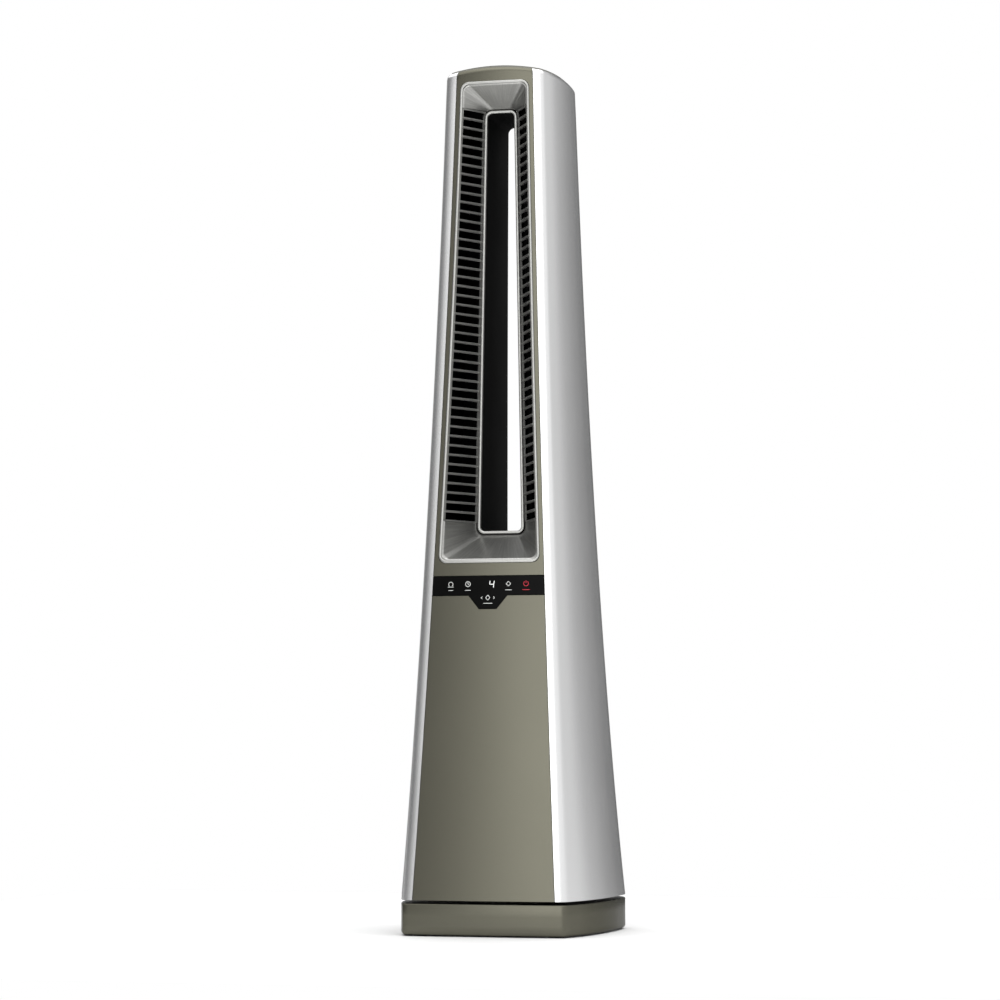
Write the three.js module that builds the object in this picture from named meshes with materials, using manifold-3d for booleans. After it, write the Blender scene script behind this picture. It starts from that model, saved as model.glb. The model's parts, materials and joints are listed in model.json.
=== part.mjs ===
// Oscillating tower fan with an open air loop: a tapering body that turns on a flat base.
// Units are millimetres. +Z is up, the front faces -Y and +X is the viewer's right.
import * as THREE from 'three';
import { mergeVertices } from 'three/addons/utils/BufferGeometryUtils.js';
import Module from 'manifold-3d';

const wasm = await Module();
wasm.setup();

// ---------- Driving dimensions ----------
const HEIGHT = 945;
const FOOT_REVEAL = 1.5;
const BASE_TOP = 34.5;
const BODY_BOTTOM = 38;
const SKIN = 3;
const GAP = 0.3;

// Plan of the body at its foot: flat front, swelling sides and a shallow rear.
const FRONT_CENTRE_Y = -120;
const FRONT_CORNER = [89, -117];
const SIDE_POINTS = [[100, -84], [106.5, -50], [110.8, -8], [112, 40], [108.7, 86]];
const REAR_CORNER = [93, 111];
const REAR_SHOULDER = [60, 118.5];
const REAR_CENTRE_Y = 120;
const SPLIT_REAR_Y = 88;
const PANEL_HALF = 78;

// Taper: the plan shrinks towards this line as it rises, fastest near the foot.
const TAPER_Y = -12;
const TAPER_RATE = 0.621;
const TAPER_EASE = 0.165;
const SWELL_KEPT = 0.48;
const SWELL_REACH = 0.3;
const DOME_CURVE_X = 0.0022;
const DOME_CURVE_Y = 0.0008;
const DOME_START = 880;
const SHOULDER = 8;

// Air window in the front: an outer trim ring, sloping walls and an inner ring round a slot.
const OUTER_MARGIN = 4.6;
const OUTER_BOTTOM = 397.5;
const OUTER_TOP = 925;
const OUTER_CORNER = 10;
const RING_BAND = 3;
const INNER_BOTTOM = 429.5;
const INNER_TOP = 899.5;
const INNER_CORNER = 9;
const INNER_PLANE_Y = -42;
const INNER_HALF_AT_800 = 22;
const INNER_FLARE = 0.0176;

// Louvres on both sloping side walls.
const LOUVRE_SLATS = 43;
const LOUVRE_PITCH = 10.28;
const LOUVRE_SLAT = 2.5;
const LOUVRE_TOP = 895;

// Control strip.
const STRIP_TOP = 383.5;
const STRIP_BOTTOM = 362.3;
const TAB_BOTTOM = 347.8;
const TAB_HALF_TOP = 21.5;
const TAB_HALF_BOTTOM = 9.8;
const LENS_THICK = 1.6;

// Swivel and its drive.
const POST_RADIUS = 18;
const POST_TOP = 54.5;
const GEAR_TEETH = 36;
const PINION_TEETH = 12;
const GEAR_MODULE = 4 / 3;
const GEAR_BOTTOM = 46;
const GEAR_HEIGHT = 7;
const GEAR_CENTRES = (GEAR_TEETH + PINION_TEETH) * GEAR_MODULE / 2;

// Blower.
const DECK_Z = 212;
const INLET_RADIUS = 44;
const IMPELLER_RADIUS = 66;
const IMPELLER_BOTTOM = 226;
const IMPELLER_HEIGHT = 44;
const BLADES = 15;
const HOUSING_RADIUS = 77;
const HOUSING_TOP = 330;

const group = new THREE.Group();

// ---------- Solid helpers ----------
function toSolid(geometry) {
  const bare = geometry.clone();
  bare.deleteAttribute('normal');
  bare.deleteAttribute('uv');
  const merged = mergeVertices(bare, 1e-4);
  const vertProperties = new Float32Array(merged.attributes.position.array);
  const triVerts = new Uint32Array(merged.index.array);
  return new wasm.Manifold(new wasm.Mesh({ numProp: 3, vertProperties, triVerts }));
}

function toGeometry(solid) {
  const mesh = solid.getMesh();
  const geometry = new THREE.BufferGeometry();
  const points = new Float32Array(mesh.vertProperties);
  const corners = new Uint32Array(mesh.triVerts);
  geometry.setAttribute('position', new THREE.BufferAttribute(points, 3));
  geometry.setIndex(new THREE.BufferAttribute(corners, 1));
  geometry.computeVertexNormals();
  return geometry;
}

function addPart(name, solid, material) {
  const mesh = new THREE.Mesh(toGeometry(solid), material);
  mesh.name = name;
  group.add(mesh);
}

function finish(color, roughness, metalness) {
  return new THREE.MeshStandardMaterial({ color, roughness, metalness });
}

// A solid through closed rings of equal point count, capped at both ends.
function loft(rings) {
  const count = rings[0].length;
  const positions = rings.flat().flatMap((p) => [p.x, p.y, p.z]);
  const index = [];
  for (let r = 0; r < rings.length - 1; r++) {
    for (let i = 0; i < count; i++) {
      const a = r * count + i;
      const b = r * count + (i + 1) % count;
      index.push(a, b, b + count, a, b + count, a + count);
    }
  }
  capRing(rings[0], 0, true, index);
  capRing(rings[rings.length - 1], (rings.length - 1) * count, false, index);
  const geometry = new THREE.BufferGeometry();
  geometry.setAttribute('position', new THREE.Float32BufferAttribute(positions, 3));
  geometry.setIndex(index);
  const solid = toSolid(geometry);
  return solid.volume() < 0 ? flipped(geometry) : solid;
}

// The same solid with its faces turned the other way.
function flipped(geometry) {
  const index = geometry.index.array;
  for (let i = 0; i < index.length; i += 3) {
    [index[i], index[i + 1]] = [index[i + 1], index[i]];
  }
  return toSolid(geometry);
}

// Fills a ring with triangles in the plane that it lies closest to.
function capRing(ring, offset, atStart, index) {
  const normal = new THREE.Vector3();
  ring.forEach((p, i) => {
    const q = ring[(i + 1) % ring.length];
    normal.x += (p.y - q.y) * (p.z + q.z);
    normal.y += (p.z - q.z) * (p.x + q.x);
    normal.z += (p.x - q.x) * (p.y + q.y);
  });
  const upright = Math.abs(normal.z) >= Math.abs(normal.y);
  const flat = ring.map((p) => (upright ? new THREE.Vector2(p.x, p.y) : new THREE.Vector2(p.z, p.x)));
  const forward = THREE.ShapeUtils.area(flat) > 0;
  for (const [a, b, c] of THREE.ShapeUtils.triangulateShape(flat, [])) {
    const face = forward !== atStart ? [a, b, c] : [a, c, b];
    index.push(...face.map((v) => v + offset));
  }
}

function box(x0, x1, y0, y1, z0, z1) {
  const geometry = new THREE.BoxGeometry(x1 - x0, y1 - y0, z1 - z0);
  geometry.translate((x0 + x1) / 2, (y0 + y1) / 2, (z0 + z1) / 2);
  return toSolid(geometry);
}

function cylinder(radius, z0, z1, x = 0, y = 0, sides = 28) {
  const geometry = new THREE.CylinderGeometry(radius, radius, z1 - z0, sides);
  geometry.rotateX(Math.PI / 2);
  geometry.translate(x, y, (z0 + z1) / 2);
  return toSolid(geometry);
}

// A cylinder lying along Y.
function cylinderY(radius, y0, y1, x, z, sides = 12) {
  const geometry = new THREE.CylinderGeometry(radius, radius, y1 - y0, sides);
  geometry.translate(x, (y0 + y1) / 2, z);
  return toSolid(geometry);
}

// A turned piece from a closed profile of [radius, height] points.
function turned(profile, sides = 28) {
  const closed = [...profile, profile[0]].map(([r, z]) => new THREE.Vector2(r, z));
  const geometry = new THREE.LatheGeometry(closed, sides);
  geometry.rotateX(Math.PI / 2);
  const solid = toSolid(geometry);
  return solid.volume() < 0 ? flipped(geometry) : solid;
}

function extrudedUp(points, z0, z1) {
  const shape = new THREE.Shape(points.map(([x, y]) => new THREE.Vector2(x, y)));
  const geometry = new THREE.ExtrudeGeometry(shape, { depth: z1 - z0, bevelEnabled: false });
  geometry.translate(0, 0, z0);
  return toSolid(geometry);
}

function union(solids) {
  return solids.reduce((whole, next) => whole.add(next));
}

// ---------- Body surface ----------
function rise(z) {
  return (z - BODY_BOTTOM) / (HEIGHT - BODY_BOTTOM);
}

function taper(z) {
  const u = rise(z);
  return 1 - TAPER_RATE * u + TAPER_EASE * u * u;
}

// Share of the side's swell that is left: it fades fast above the foot and then levels off.
function swellShare(z) {
  return SWELL_KEPT + (1 - SWELL_KEPT) * Math.exp(-rise(z) / SWELL_REACH);
}

// Sideways: the panel narrows, the band beside it keeps its width and the side swell fades.
function taperX(x, z) {
  const across = Math.abs(x);
  const band = Math.min(Math.max(across - PANEL_HALF, 0), FRONT_CORNER[0] - PANEL_HALF);
  const swell = Math.max(across - FRONT_CORNER[0], 0) * swellShare(z);
  return Math.sign(x) * (Math.min(across, PANEL_HALF) * taper(z) + band + swell);
}

function taperY(y, z) {
  return TAPER_Y + (y - TAPER_Y) * taper(z);
}

function frontY(x, z) {
  const half = FRONT_CORNER[0];
  const crown = (FRONT_CORNER[1] - FRONT_CENTRE_Y) * taper(z);
  const edge = taperX(half, z);
  return taperY(FRONT_CENTRE_Y, z) + crown * (x / edge) ** 2;
}

function panelHalf(z) {
  return PANEL_HALF * taper(z);
}

// Half plan from the front centre round to the rear centre, with softened corners.
function halfPlan(cornerCut) {
  const [cx, cy] = FRONT_CORNER;
  const crown = cy - FRONT_CENTRE_Y;
  const points = [];
  for (const x of [0, 40, PANEL_HALF - 0.4, PANEL_HALF + 0.4]) {
    points.push(new THREE.Vector2(x, FRONT_CENTRE_Y + crown * (x / cx) ** 2));
  }
  const corner = new THREE.Vector2(cx, cy);
  const sideCurve = new THREE.SplineCurve(
    [FRONT_CORNER, ...SIDE_POINTS, REAR_CORNER, REAR_SHOULDER, [0, REAR_CENTRE_Y]].map(
      ([x, y]) => new THREE.Vector2(x, y)
    )
  );
  const before = new THREE.Vector2(cx - cornerCut, cy - 0.06 * cornerCut);
  const after = corner.clone().add(new THREE.Vector2(0.31, 0.95).multiplyScalar(cornerCut));
  const fillet = new THREE.QuadraticBezierCurve(before, corner, after);
  points.push(...fillet.getPoints(3));
  const steps = 12;
  for (let i = 1; i <= steps; i++) {
    const p = sideCurve.getPoint(i / steps);
    if (p.y > after.y + 4) {
      points.push(p);
    }
  }
  return points;
}

function fullPlan(cornerCut) {
  const half = halfPlan(cornerCut);
  const mirrored = half.slice(1, -1).reverse().map((p) => new THREE.Vector2(-p.x, p.y));
  return [...half, ...mirrored];
}

// Moves each point of a closed ring inwards along its own normal.
function insetRing(ring, inset) {
  return ring.map((p, i) => {
    const before = ring[(i + ring.length - 1) % ring.length];
    const after = ring[(i + 1) % ring.length];
    const along = new THREE.Vector2().subVectors(after, before).normalize();
    return new THREE.Vector2(p.x - along.y * inset, p.y + along.x * inset);
  });
}

function domeSag(x, y, z) {
  const blend = Math.max(0, (z - DOME_START) / (HEIGHT - DOME_START)) ** 2;
  return blend * (DOME_CURVE_X * x * x + DOME_CURVE_Y * (y - TAPER_Y) ** 2);
}

// The last few millimetres draw in to a rounded shoulder.
function shoulderScale(z) {
  const q = Math.min(1, Math.max(0, (z - (HEIGHT - SHOULDER)) / SHOULDER));
  return 1 - SHOULDER * (1 - Math.sqrt(1 - q * q)) / taperX(SIDE_POINTS[2][0], HEIGHT);
}

// Heights at which the tapering surfaces change slope.
const BODY_LEVELS = [100, 180, 260, 340, 500, 660, 800, 885, 920, 937, 941];
const BODY_PLAN = fullPlan(9);
const BASE_PLAN = fullPlan(6);

function bodyRing(z, inset) {
  const tapered = BODY_PLAN.map((p) => new THREE.Vector2(taperX(p.x, z), taperY(p.y, z)));
  const share = shoulderScale(z);
  const drawn = insetRing(tapered, inset).map(
    (p) => new THREE.Vector2(p.x * share, TAPER_Y + (p.y - TAPER_Y) * share)
  );
  return drawn.map((p) => new THREE.Vector3(p.x, p.y, z - domeSag(p.x, p.y, z)));
}

function bodyLoft(inset, z0, z1) {
  const inner = BODY_LEVELS.filter((z) => z > z0 + 1 && z < z1 - 0.4);
  return loft([z0, ...inner, z1].map((z) => bodyRing(z, inset)));
}

// A tapering prism over a foot-scale plan polygon.
function planPrism(points, z0, z1) {
  const inner = BODY_LEVELS.filter((z) => z > z0 + 1 && z < z1 - 1);
  return loft(
    [z0, ...inner, z1].map((z) =>
      points.map(([x, y]) => new THREE.Vector3(taperX(x, z), taperY(y, z), z))
    )
  );
}

const SKIN_TOP = HEIGHT - 2.4;
const skin = bodyLoft(0, BODY_BOTTOM, SKIN_TOP).subtract(bodyLoft(SKIN, BODY_BOTTOM - 1, HEIGHT - 0.5));

// ---------- Air window outlines ----------
function outerHalf(z) {
  return panelHalf(z) - OUTER_MARGIN;
}

function innerHalf(z) {
  return INNER_HALF_AT_800 + INNER_FLARE * (800 - z);
}

// Rounded upright outline as [x, z] points, its sides following halfAt(z).
function windowOutline(halfAt, z0, z1, corner) {
  const arcSteps = 3;
  const right = [];
  for (let i = 0; i <= arcSteps; i++) {
    const a = (i / arcSteps) * Math.PI / 2;
    const z = z0 + corner * (1 - Math.cos(a));
    right.push([halfAt(z) - corner * (1 - Math.sin(a)), z]);
  }
  for (const t of [0.2, 0.4, 0.6, 0.8]) {
    const z = z0 + corner + t * (z1 - z0 - 2 * corner);
    right.push([halfAt(z), z]);
  }
  for (let i = 0; i <= arcSteps; i++) {
    const a = (i / arcSteps) * Math.PI / 2;
    const z = z1 - corner * (1 - Math.sin(a));
    right.push([halfAt(z) - corner * (1 - Math.cos(a)), z]);
  }
  const left = right.slice().reverse().map(([x, z]) => [-x, z]);
  return [...right, ...left];
}

function outerOutline(inset) {
  return windowOutline(
    (z) => outerHalf(z) - inset, OUTER_BOTTOM + inset, OUTER_TOP - inset, OUTER_CORNER - inset * 0.6
  );
}

function innerOutline(inset) {
  return windowOutline(
    (z) => innerHalf(z) - inset, INNER_BOTTOM + inset, INNER_TOP - inset, INNER_CORNER - inset * 0.6
  );
}

function alongY(outline, y0, y1) {
  return loft([y0, y1].map((y) => outline.map(([x, z]) => new THREE.Vector3(x, y, z))));
}

// The rear face of the body seen from inside, a few millimetres in from the skin.
function rearRing(outline, inset) {
  return outline.map(([x, z]) => new THREE.Vector3(x, taperY(REAR_CENTRE_Y, z) - inset, z));
}

// ---------- Finishes ----------
const silver = finish(0xc9cac8, 0.32, 0.85);
const olive = finish(0x6f6e62, 0.38, 0.75);
const darkOlive = finish(0x55544b, 0.45, 0.5);
const satinGrey = finish(0x8f908c, 0.35, 0.7);
const brightTrim = finish(0xb9bab4, 0.25, 0.9);
const blackPlastic = finish(0x161616, 0.45, 0.0);
const glossBlack = finish(0x060606, 0.08, 0.0);
const whitePlastic = finish(0xd8d8d2, 0.5, 0.0);
const greyPlastic = finish(0x3a3b3a, 0.55, 0.0);
const rubber = finish(0x1a1a1a, 0.9, 0.0);
const steel = finish(0xa0a2a4, 0.35, 1.0);
const copperBoard = finish(0x1f4a2c, 0.6, 0.0);
const displayRed = finish(0x401012, 0.4, 0.0);

// ---------- Base ----------
const baseRing = (z, inset) => insetRing(BASE_PLAN, inset).map((p) => new THREE.Vector3(p.x, p.y, z));
const baseOuter = loft([
  baseRing(FOOT_REVEAL, 2.5),
  baseRing(FOOT_REVEAL + 1, 0.9),
  baseRing(FOOT_REVEAL + 3, 0),
  baseRing(BASE_TOP - 1.2, 0),
  baseRing(BASE_TOP, 1)
]);
const baseHollow = loft([baseRing(0, SKIN + 0.8), baseRing(BASE_TOP - SKIN, SKIN + 0.8)]);
const cordHole = cylinderY(5.3, 100, 130, 0, 16, 16);
addPart(
  'base_cover',
  baseOuter.subtract(baseHollow).subtract(cylinder(POST_RADIUS + GAP, 20, 40)).subtract(cordHole),
  olive
);

const basePlateBottom = 3;
const basePlateTop = 5;
const footSpots = {
  front_left: [-74, -94], front_right: [74, -94], rear_left: [-78, 88], rear_right: [78, 88]
};
let bottomPlate = loft([basePlateBottom, basePlateTop].map((z) => baseRing(z, SKIN + 1.2)));
for (const [x, y] of Object.values(footSpots)) {
  bottomPlate = bottomPlate.subtract(cylinder(5, 0, 10, x, y, 12));
}
addPart('base_bottom_plate', bottomPlate, steel);

for (const [corner, [x, y]] of Object.entries(footSpots)) {
  const pad = cylinder(9, 0, basePlateBottom - GAP, x, y, 16);
  const plug = cylinder(4.7, 1, basePlateTop + 1, x, y, 12);
  addPart(`rubber_foot_${corner}`, pad.add(plug), rubber);
}

const postProfile = [
  [POST_RADIUS - 4, basePlateTop + GAP], [POST_RADIUS + 14, basePlateTop + GAP],
  [POST_RADIUS + 14, basePlateTop + 3], [POST_RADIUS, basePlateTop + 6],
  [POST_RADIUS, POST_TOP], [POST_RADIUS - 4, POST_TOP]
];
addPart('swivel_post', turned(postProfile), greyPlastic);
addPart(
  'swivel_bearing_ring',
  turned([[40, BASE_TOP + GAP], [52, BASE_TOP + GAP], [52, BODY_BOTTOM - GAP], [40, BODY_BOTTOM - GAP]]),
  whitePlastic
);
addPart(
  'post_retaining_ring',
  turned([[POST_RADIUS + GAP, 41.5], [25, 41.5], [25, 43.5], [POST_RADIUS + GAP, 43.5]]),
  steel
);

// Spur gear outline with straight-sided teeth, thinned for running clearance.
function gearPoints(teeth, phase) {
  const pitchRadius = teeth * GEAR_MODULE / 2;
  const root = pitchRadius - 1.2 * GEAR_MODULE;
  const tip = pitchRadius + 0.8 * GEAR_MODULE;
  const step = 2 * Math.PI / teeth;
  const points = [];
  for (let i = 0; i < teeth; i++) {
    const middle = i * step + phase;
    for (const [share, radius] of [[-0.33, root], [-0.13, tip], [0.13, tip], [0.33, root]]) {
      const a = middle + share * step;
      points.push([radius * Math.cos(a), radius * Math.sin(a)]);
    }
  }
  return points;
}

const gearTop = GEAR_BOTTOM + GEAR_HEIGHT;
const fixedGear = extrudedUp(gearPoints(GEAR_TEETH, 0), GEAR_BOTTOM, gearTop);
addPart('fixed_gear', fixedGear.subtract(cylinder(POST_RADIUS + GAP, 40, 60)), whitePlastic);

const glandZ = 16;
const glandFlange = cylinderY(8, 108, REAR_CENTRE_Y - SKIN - 1.4, 0, glandZ, 16);
const glandNeck = cylinderY(4.9, 108, REAR_CENTRE_Y - 0.2, 0, glandZ, 16);
const cordBore = cylinderY(2.2, 100, 130, 0, glandZ, 12);
addPart('cord_gland', glandFlange.add(glandNeck).subtract(cordBore), blackPlastic);

// ---------- Swivelling floor and drive ----------
const floorPlate = loft([BODY_BOTTOM, BODY_BOTTOM + 3].map((z) => bodyRing(z, SKIN + 0.6)));
addPart('turntable_plate', floorPlate.subtract(cylinder(POST_RADIUS + 0.8, 30, 50)), blackPlastic);

const pinionPoints = gearPoints(PINION_TEETH, Math.PI + Math.PI / PINION_TEETH);
const pinion = extrudedUp(pinionPoints, GEAR_BOTTOM, gearTop).translate([GEAR_CENTRES, 0, 0]);
addPart(
  'oscillation_pinion',
  pinion.add(cylinder(3, GEAR_BOTTOM, 59.4, GEAR_CENTRES, 0, 16)),
  whitePlastic
);

const bracketTop = 59;
const bracketFoot = BODY_BOTTOM + 3 + GAP;
const bracket = union([
  box(20, 58, -26, 26, bracketTop - 2, bracketTop),
  box(28, 50, -26, -24, bracketFoot, bracketTop),
  box(28, 50, 24, 26, bracketFoot, bracketTop),
  box(28, 50, -34, -24, bracketFoot, bracketFoot + 2),
  box(28, 50, 24, 34, bracketFoot, bracketFoot + 2)
]);
addPart('motor_bracket', bracket.subtract(cylinder(5, 50, 70, GEAR_CENTRES, 0, 20)), steel);

const gearmotor = union([
  cylinder(23, bracketTop + GAP, bracketTop + 15, GEAR_CENTRES, 0, 32),
  box(GEAR_CENTRES - 6, GEAR_CENTRES + 6, 20, 28, bracketTop + GAP, bracketTop + 11)
]);
addPart('oscillation_gearmotor', gearmotor.subtract(cylinder(4, 50, 62, GEAR_CENTRES, 0, 16)), steel);

// ---------- Body skins ----------
const wide = 200;
const frontSector = (half) => [[-half, -wide], [half, -wide], [half, -60], [-half, -60]];
const splitLow = BODY_BOTTOM - 2;
const splitHigh = HEIGHT + 2;
const panelZone = planPrism(frontSector(PANEL_HALF - 0.3), splitLow, splitHigh);
const panelKeepOut = planPrism(frontSector(PANEL_HALF + 0.3), splitLow, splitHigh);
const rearSector = (y) => [[-wide, y], [wide, y], [wide, wide], [-wide, wide]];
const rearZone = planPrism(rearSector(SPLIT_REAR_Y + 0.3), splitLow, splitHigh);
const rearKeepOut = planPrism(rearSector(SPLIT_REAR_Y - 0.3), splitLow, splitHigh);

const shells = skin.subtract(panelKeepOut).subtract(rearKeepOut);
addPart('left_side_shell', shells.intersect(box(-wide, 0, -wide, wide, 0, 1000)), silver);
addPart('right_side_shell', shells.intersect(box(0, wide, -wide, wide, 0, 1000)), silver);

// Control strip outline as [x, z], reaching past the panel's edges.
function stripOutline(grow) {
  return [
    [-90, STRIP_BOTTOM - grow], [-TAB_HALF_TOP - grow, STRIP_BOTTOM - grow],
    [-TAB_HALF_BOTTOM - grow, TAB_BOTTOM - grow], [TAB_HALF_BOTTOM + grow, TAB_BOTTOM - grow],
    [TAB_HALF_TOP + grow, STRIP_BOTTOM - grow], [90, STRIP_BOTTOM - grow],
    [90, STRIP_TOP + grow], [-90, STRIP_TOP + grow]
  ];
}

const stripLow = TAB_BOTTOM - 8;
const stripHigh = STRIP_TOP + 8;
const lensPocket = alongY(stripOutline(0), -wide, -60).subtract(
  bodyLoft(LENS_THICK + GAP, stripLow, stripHigh)
);
const lensBlock = alongY(stripOutline(-GAP), -wide, -60).intersect(bodyLoft(0, stripLow, stripHigh));
const lens = lensBlock.subtract(bodyLoft(LENS_THICK, stripLow, stripHigh)).intersect(panelZone);
addPart('control_lens', lens, glossBlack);

const displayX = 4.2;
const keyRowZ = 374;
const touchKeys = {
  ion: [-41.5, keyRowZ], timer: [-22.3, keyRowZ], speed: [22.5, keyRowZ],
  power: [41.8, keyRowZ], oscillate: [0, 358.5]
};
const boardY = -85;
const lensBackY = (x, z) => frontY(x, z) + LENS_THICK + 0.9;
let panel = skin.intersect(panelZone).subtract(alongY(outerOutline(-GAP), -wide, -50)).subtract(lensPocket);
panel = panel.subtract(box(displayX - 6, displayX + 6, -wide, -60, keyRowZ - 7, keyRowZ + 7));
for (const [x, z] of Object.values(touchKeys)) {
  panel = panel.subtract(cylinderY(4.6, -wide, -60, x, z));
}
addPart('front_panel', panel, olive);

for (const [key, [x, z]] of Object.entries(touchKeys)) {
  addPart(`touch_spring_${key}`, cylinderY(3.6, lensBackY(x, z), boardY - GAP, x, z, 8), steel);
}
addPart('control_board', box(-52, 52, boardY, boardY + 1.6, 350, 384), copperBoard);
const displayFront = lensBackY(displayX, keyRowZ);
addPart(
  'digit_display',
  box(displayX - 5.4, displayX + 5.4, displayFront, boardY - GAP, keyRowZ - 6.4, keyRowZ + 6.4),
  displayRed
);
addPart('infrared_receiver', box(9.6, 14.6, boardY - 5, boardY - GAP, 351, 356), blackPlastic);

// ---------- Top cap ----------
function capRings() {
  const low = SKIN_TOP + GAP;
  const rim = bodyRing(low, 0);
  const crest = bodyRing(HEIGHT, -1.2);
  const shrink = (ring, share, z) =>
    ring.map((p) => {
      const x = p.x * share;
      const y = TAPER_Y + (p.y - TAPER_Y) * share;
      return new THREE.Vector3(x, y, z - domeSag(x, y, HEIGHT));
    });
  return [
    shrink(rim, 0.02, low), shrink(rim, 0.6, low), rim, crest,
    shrink(crest, 0.75, HEIGHT), shrink(crest, 0.45, HEIGHT), shrink(crest, 0.02, HEIGHT)
  ];
}
addPart('top_cap', loft(capRings()), darkOlive);

// ---------- Air window ----------
const frontBand = bodyLoft(-1, OUTER_BOTTOM - 20, OUTER_TOP + 10).subtract(
  bodyLoft(SKIN, OUTER_BOTTOM - 22, OUTER_TOP + 12)
);
const trimBlock = alongY(outerOutline(0), -wide, -50).subtract(alongY(outerOutline(RING_BAND), -wide, -40));
addPart('outer_trim_ring', trimBlock.intersect(frontBand), brightTrim);

// The sloping walls run from the outer ring back to the inner ring's plane.
function funnelBlock(grow, frontPush, backPush) {
  const front = outerOutline(RING_BAND + GAP - grow).map(
    ([x, z]) => new THREE.Vector3(x, frontY(x, z) + frontPush, z)
  );
  const back = innerOutline(-grow).map(([x, z]) => new THREE.Vector3(x, INNER_PLANE_Y + backPush, z));
  return loft([front, back]);
}

// Four wall pieces meet behind the two rings: a hopper above, one below and a louvre on each side.
const slopeWall = 2;
const walls = funnelBlock(0, 0.8, 0).subtract(funnelBlock(-slopeWall, 0.3, 0.6));
const louvreBottom = LOUVRE_TOP - (LOUVRE_SLATS + 1) * LOUVRE_PITCH + LOUVRE_SLAT;
const louvreFrame = 1.6;
const louvreHigh = LOUVRE_TOP + louvreFrame;
const louvreLow = louvreBottom - louvreFrame;
addPart('upper_hopper', walls.intersect(box(-wide, wide, -wide, wide, louvreHigh + GAP, 1000)), satinGrey);
addPart('lower_hopper', walls.intersect(box(-wide, wide, -wide, wide, 0, louvreLow - GAP)), satinGrey);

// An opening through one side wall, between two shares of the wall's width.
function louvreSlot(side, z0, z1) {
  const shareFrom = 0.05;
  const shareTo = 0.95;
  const reach = 8;
  const rings = [z0, z1].map((z) => {
    const ax = outerHalf(z) - RING_BAND - GAP;
    const a = new THREE.Vector2(ax, frontY(ax, z));
    const b = new THREE.Vector2(innerHalf(z), INNER_PLANE_Y);
    const along = new THREE.Vector2().subVectors(b, a);
    const out = new THREE.Vector2(along.y, -along.x).normalize();
    const corner = (share, depth) => {
      const p = a.clone().addScaledVector(along, share).addScaledVector(out, depth);
      return new THREE.Vector3(side * p.x, p.y, z);
    };
    return [
      corner(shareFrom, -reach), corner(shareTo, -reach), corner(shareTo, reach), corner(shareFrom, reach)
    ];
  });
  return loft(rings);
}

function louvre(side) {
  const half = side < 0 ? [-wide, 0] : [0, wide];
  let comb = walls.intersect(box(...half, -wide, wide, louvreLow, louvreHigh));
  for (let i = 0; i <= LOUVRE_SLATS; i++) {
    const top = LOUVRE_TOP - i * LOUVRE_PITCH;
    comb = comb.subtract(louvreSlot(side, top - LOUVRE_PITCH + LOUVRE_SLAT, top));
  }
  return comb;
}
addPart('left_louvre', louvre(-1), satinGrey);
addPart('right_louvre', louvre(1), satinGrey);

const innerRing = alongY(innerOutline(slopeWall + GAP), INNER_PLANE_Y - 2.5, INNER_PLANE_Y + 1.5);
addPart(
  'inner_trim_ring',
  innerRing.subtract(alongY(innerOutline(slopeWall + GAP + RING_BAND), -60, 0)),
  brightTrim
);

const linerOuter = innerOutline(slopeWall + 1);
const linerInner = innerOutline(slopeWall + RING_BAND);
const linerFront = INNER_PLANE_Y + 1.5 + GAP;
const linerBlock = (outline, y0, inset) =>
  loft([outline.map(([x, z]) => new THREE.Vector3(x, y0, z)), rearRing(outline, inset)]);
addPart(
  'tunnel_liner',
  linerBlock(linerOuter, linerFront, 4).subtract(linerBlock(linerInner, linerFront - 5, 2)),
  blackPlastic
);

// ---------- Rear ----------
const grilleLow = 66;
const grilleHigh = 200;
const grilleHalf = 74;
const grilleZone = (grow) =>
  planPrism(
    [[-grilleHalf - grow, 60], [grilleHalf + grow, 60], [grilleHalf + grow, wide], [-grilleHalf - grow, wide]],
    grilleLow - grow, grilleHigh + grow
  );
const rearSkin = skin.intersect(rearZone);
const screwSpots = {
  lower_left: [-84, 56], lower_right: [84, 56], upper_left: [-56, 380], upper_right: [56, 380]
};
let rearCover = rearSkin.subtract(alongY(innerOutline(slopeWall), 0, wide)).subtract(grilleZone(GAP));
for (const [x, z] of Object.values(screwSpots)) {
  rearCover = rearCover.subtract(cylinderY(3.4, 40, wide, x, z));
}
const coverSeam = 418;
const coverBand = (z0, z1) => box(-wide, wide, 0, wide, z0, z1);
addPart('rear_lower_cover', rearCover.intersect(coverBand(0, coverSeam - GAP / 2)), darkOlive);
addPart('rear_upper_cover', rearCover.intersect(coverBand(coverSeam + GAP / 2, HEIGHT)), darkOlive);

const grilleSlots = 14;
const grillePitch = (grilleHigh - grilleLow) / (grilleSlots + 0.4);
let grille = rearSkin.intersect(grilleZone(0));
for (let i = 0; i < grilleSlots; i++) {
  const z = grilleLow + grillePitch * (i + 0.5);
  for (const side of [-1, 1]) {
    const inner = 3 * side;
    const outer = (grilleHalf - 12) * side;
    grille = grille.subtract(
      box(Math.min(inner, outer), Math.max(inner, outer), 60, wide, z, z + grillePitch - 3)
    );
  }
}
addPart('intake_grille', grille, darkOlive);

for (const [spot, [x, z]] of Object.entries(screwSpots)) {
  const rearFace = taperY(REAR_CENTRE_Y, z) - 4.5;
  const head = cylinderY(3, rearFace - 6, rearFace, x, z, 12);
  const slot = box(x - 2, x + 2, rearFace - 1.2, rearFace + 1, z - 0.5, z + 0.5);
  addPart(`rear_screw_${spot}`, head.subtract(slot), steel);
}

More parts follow.
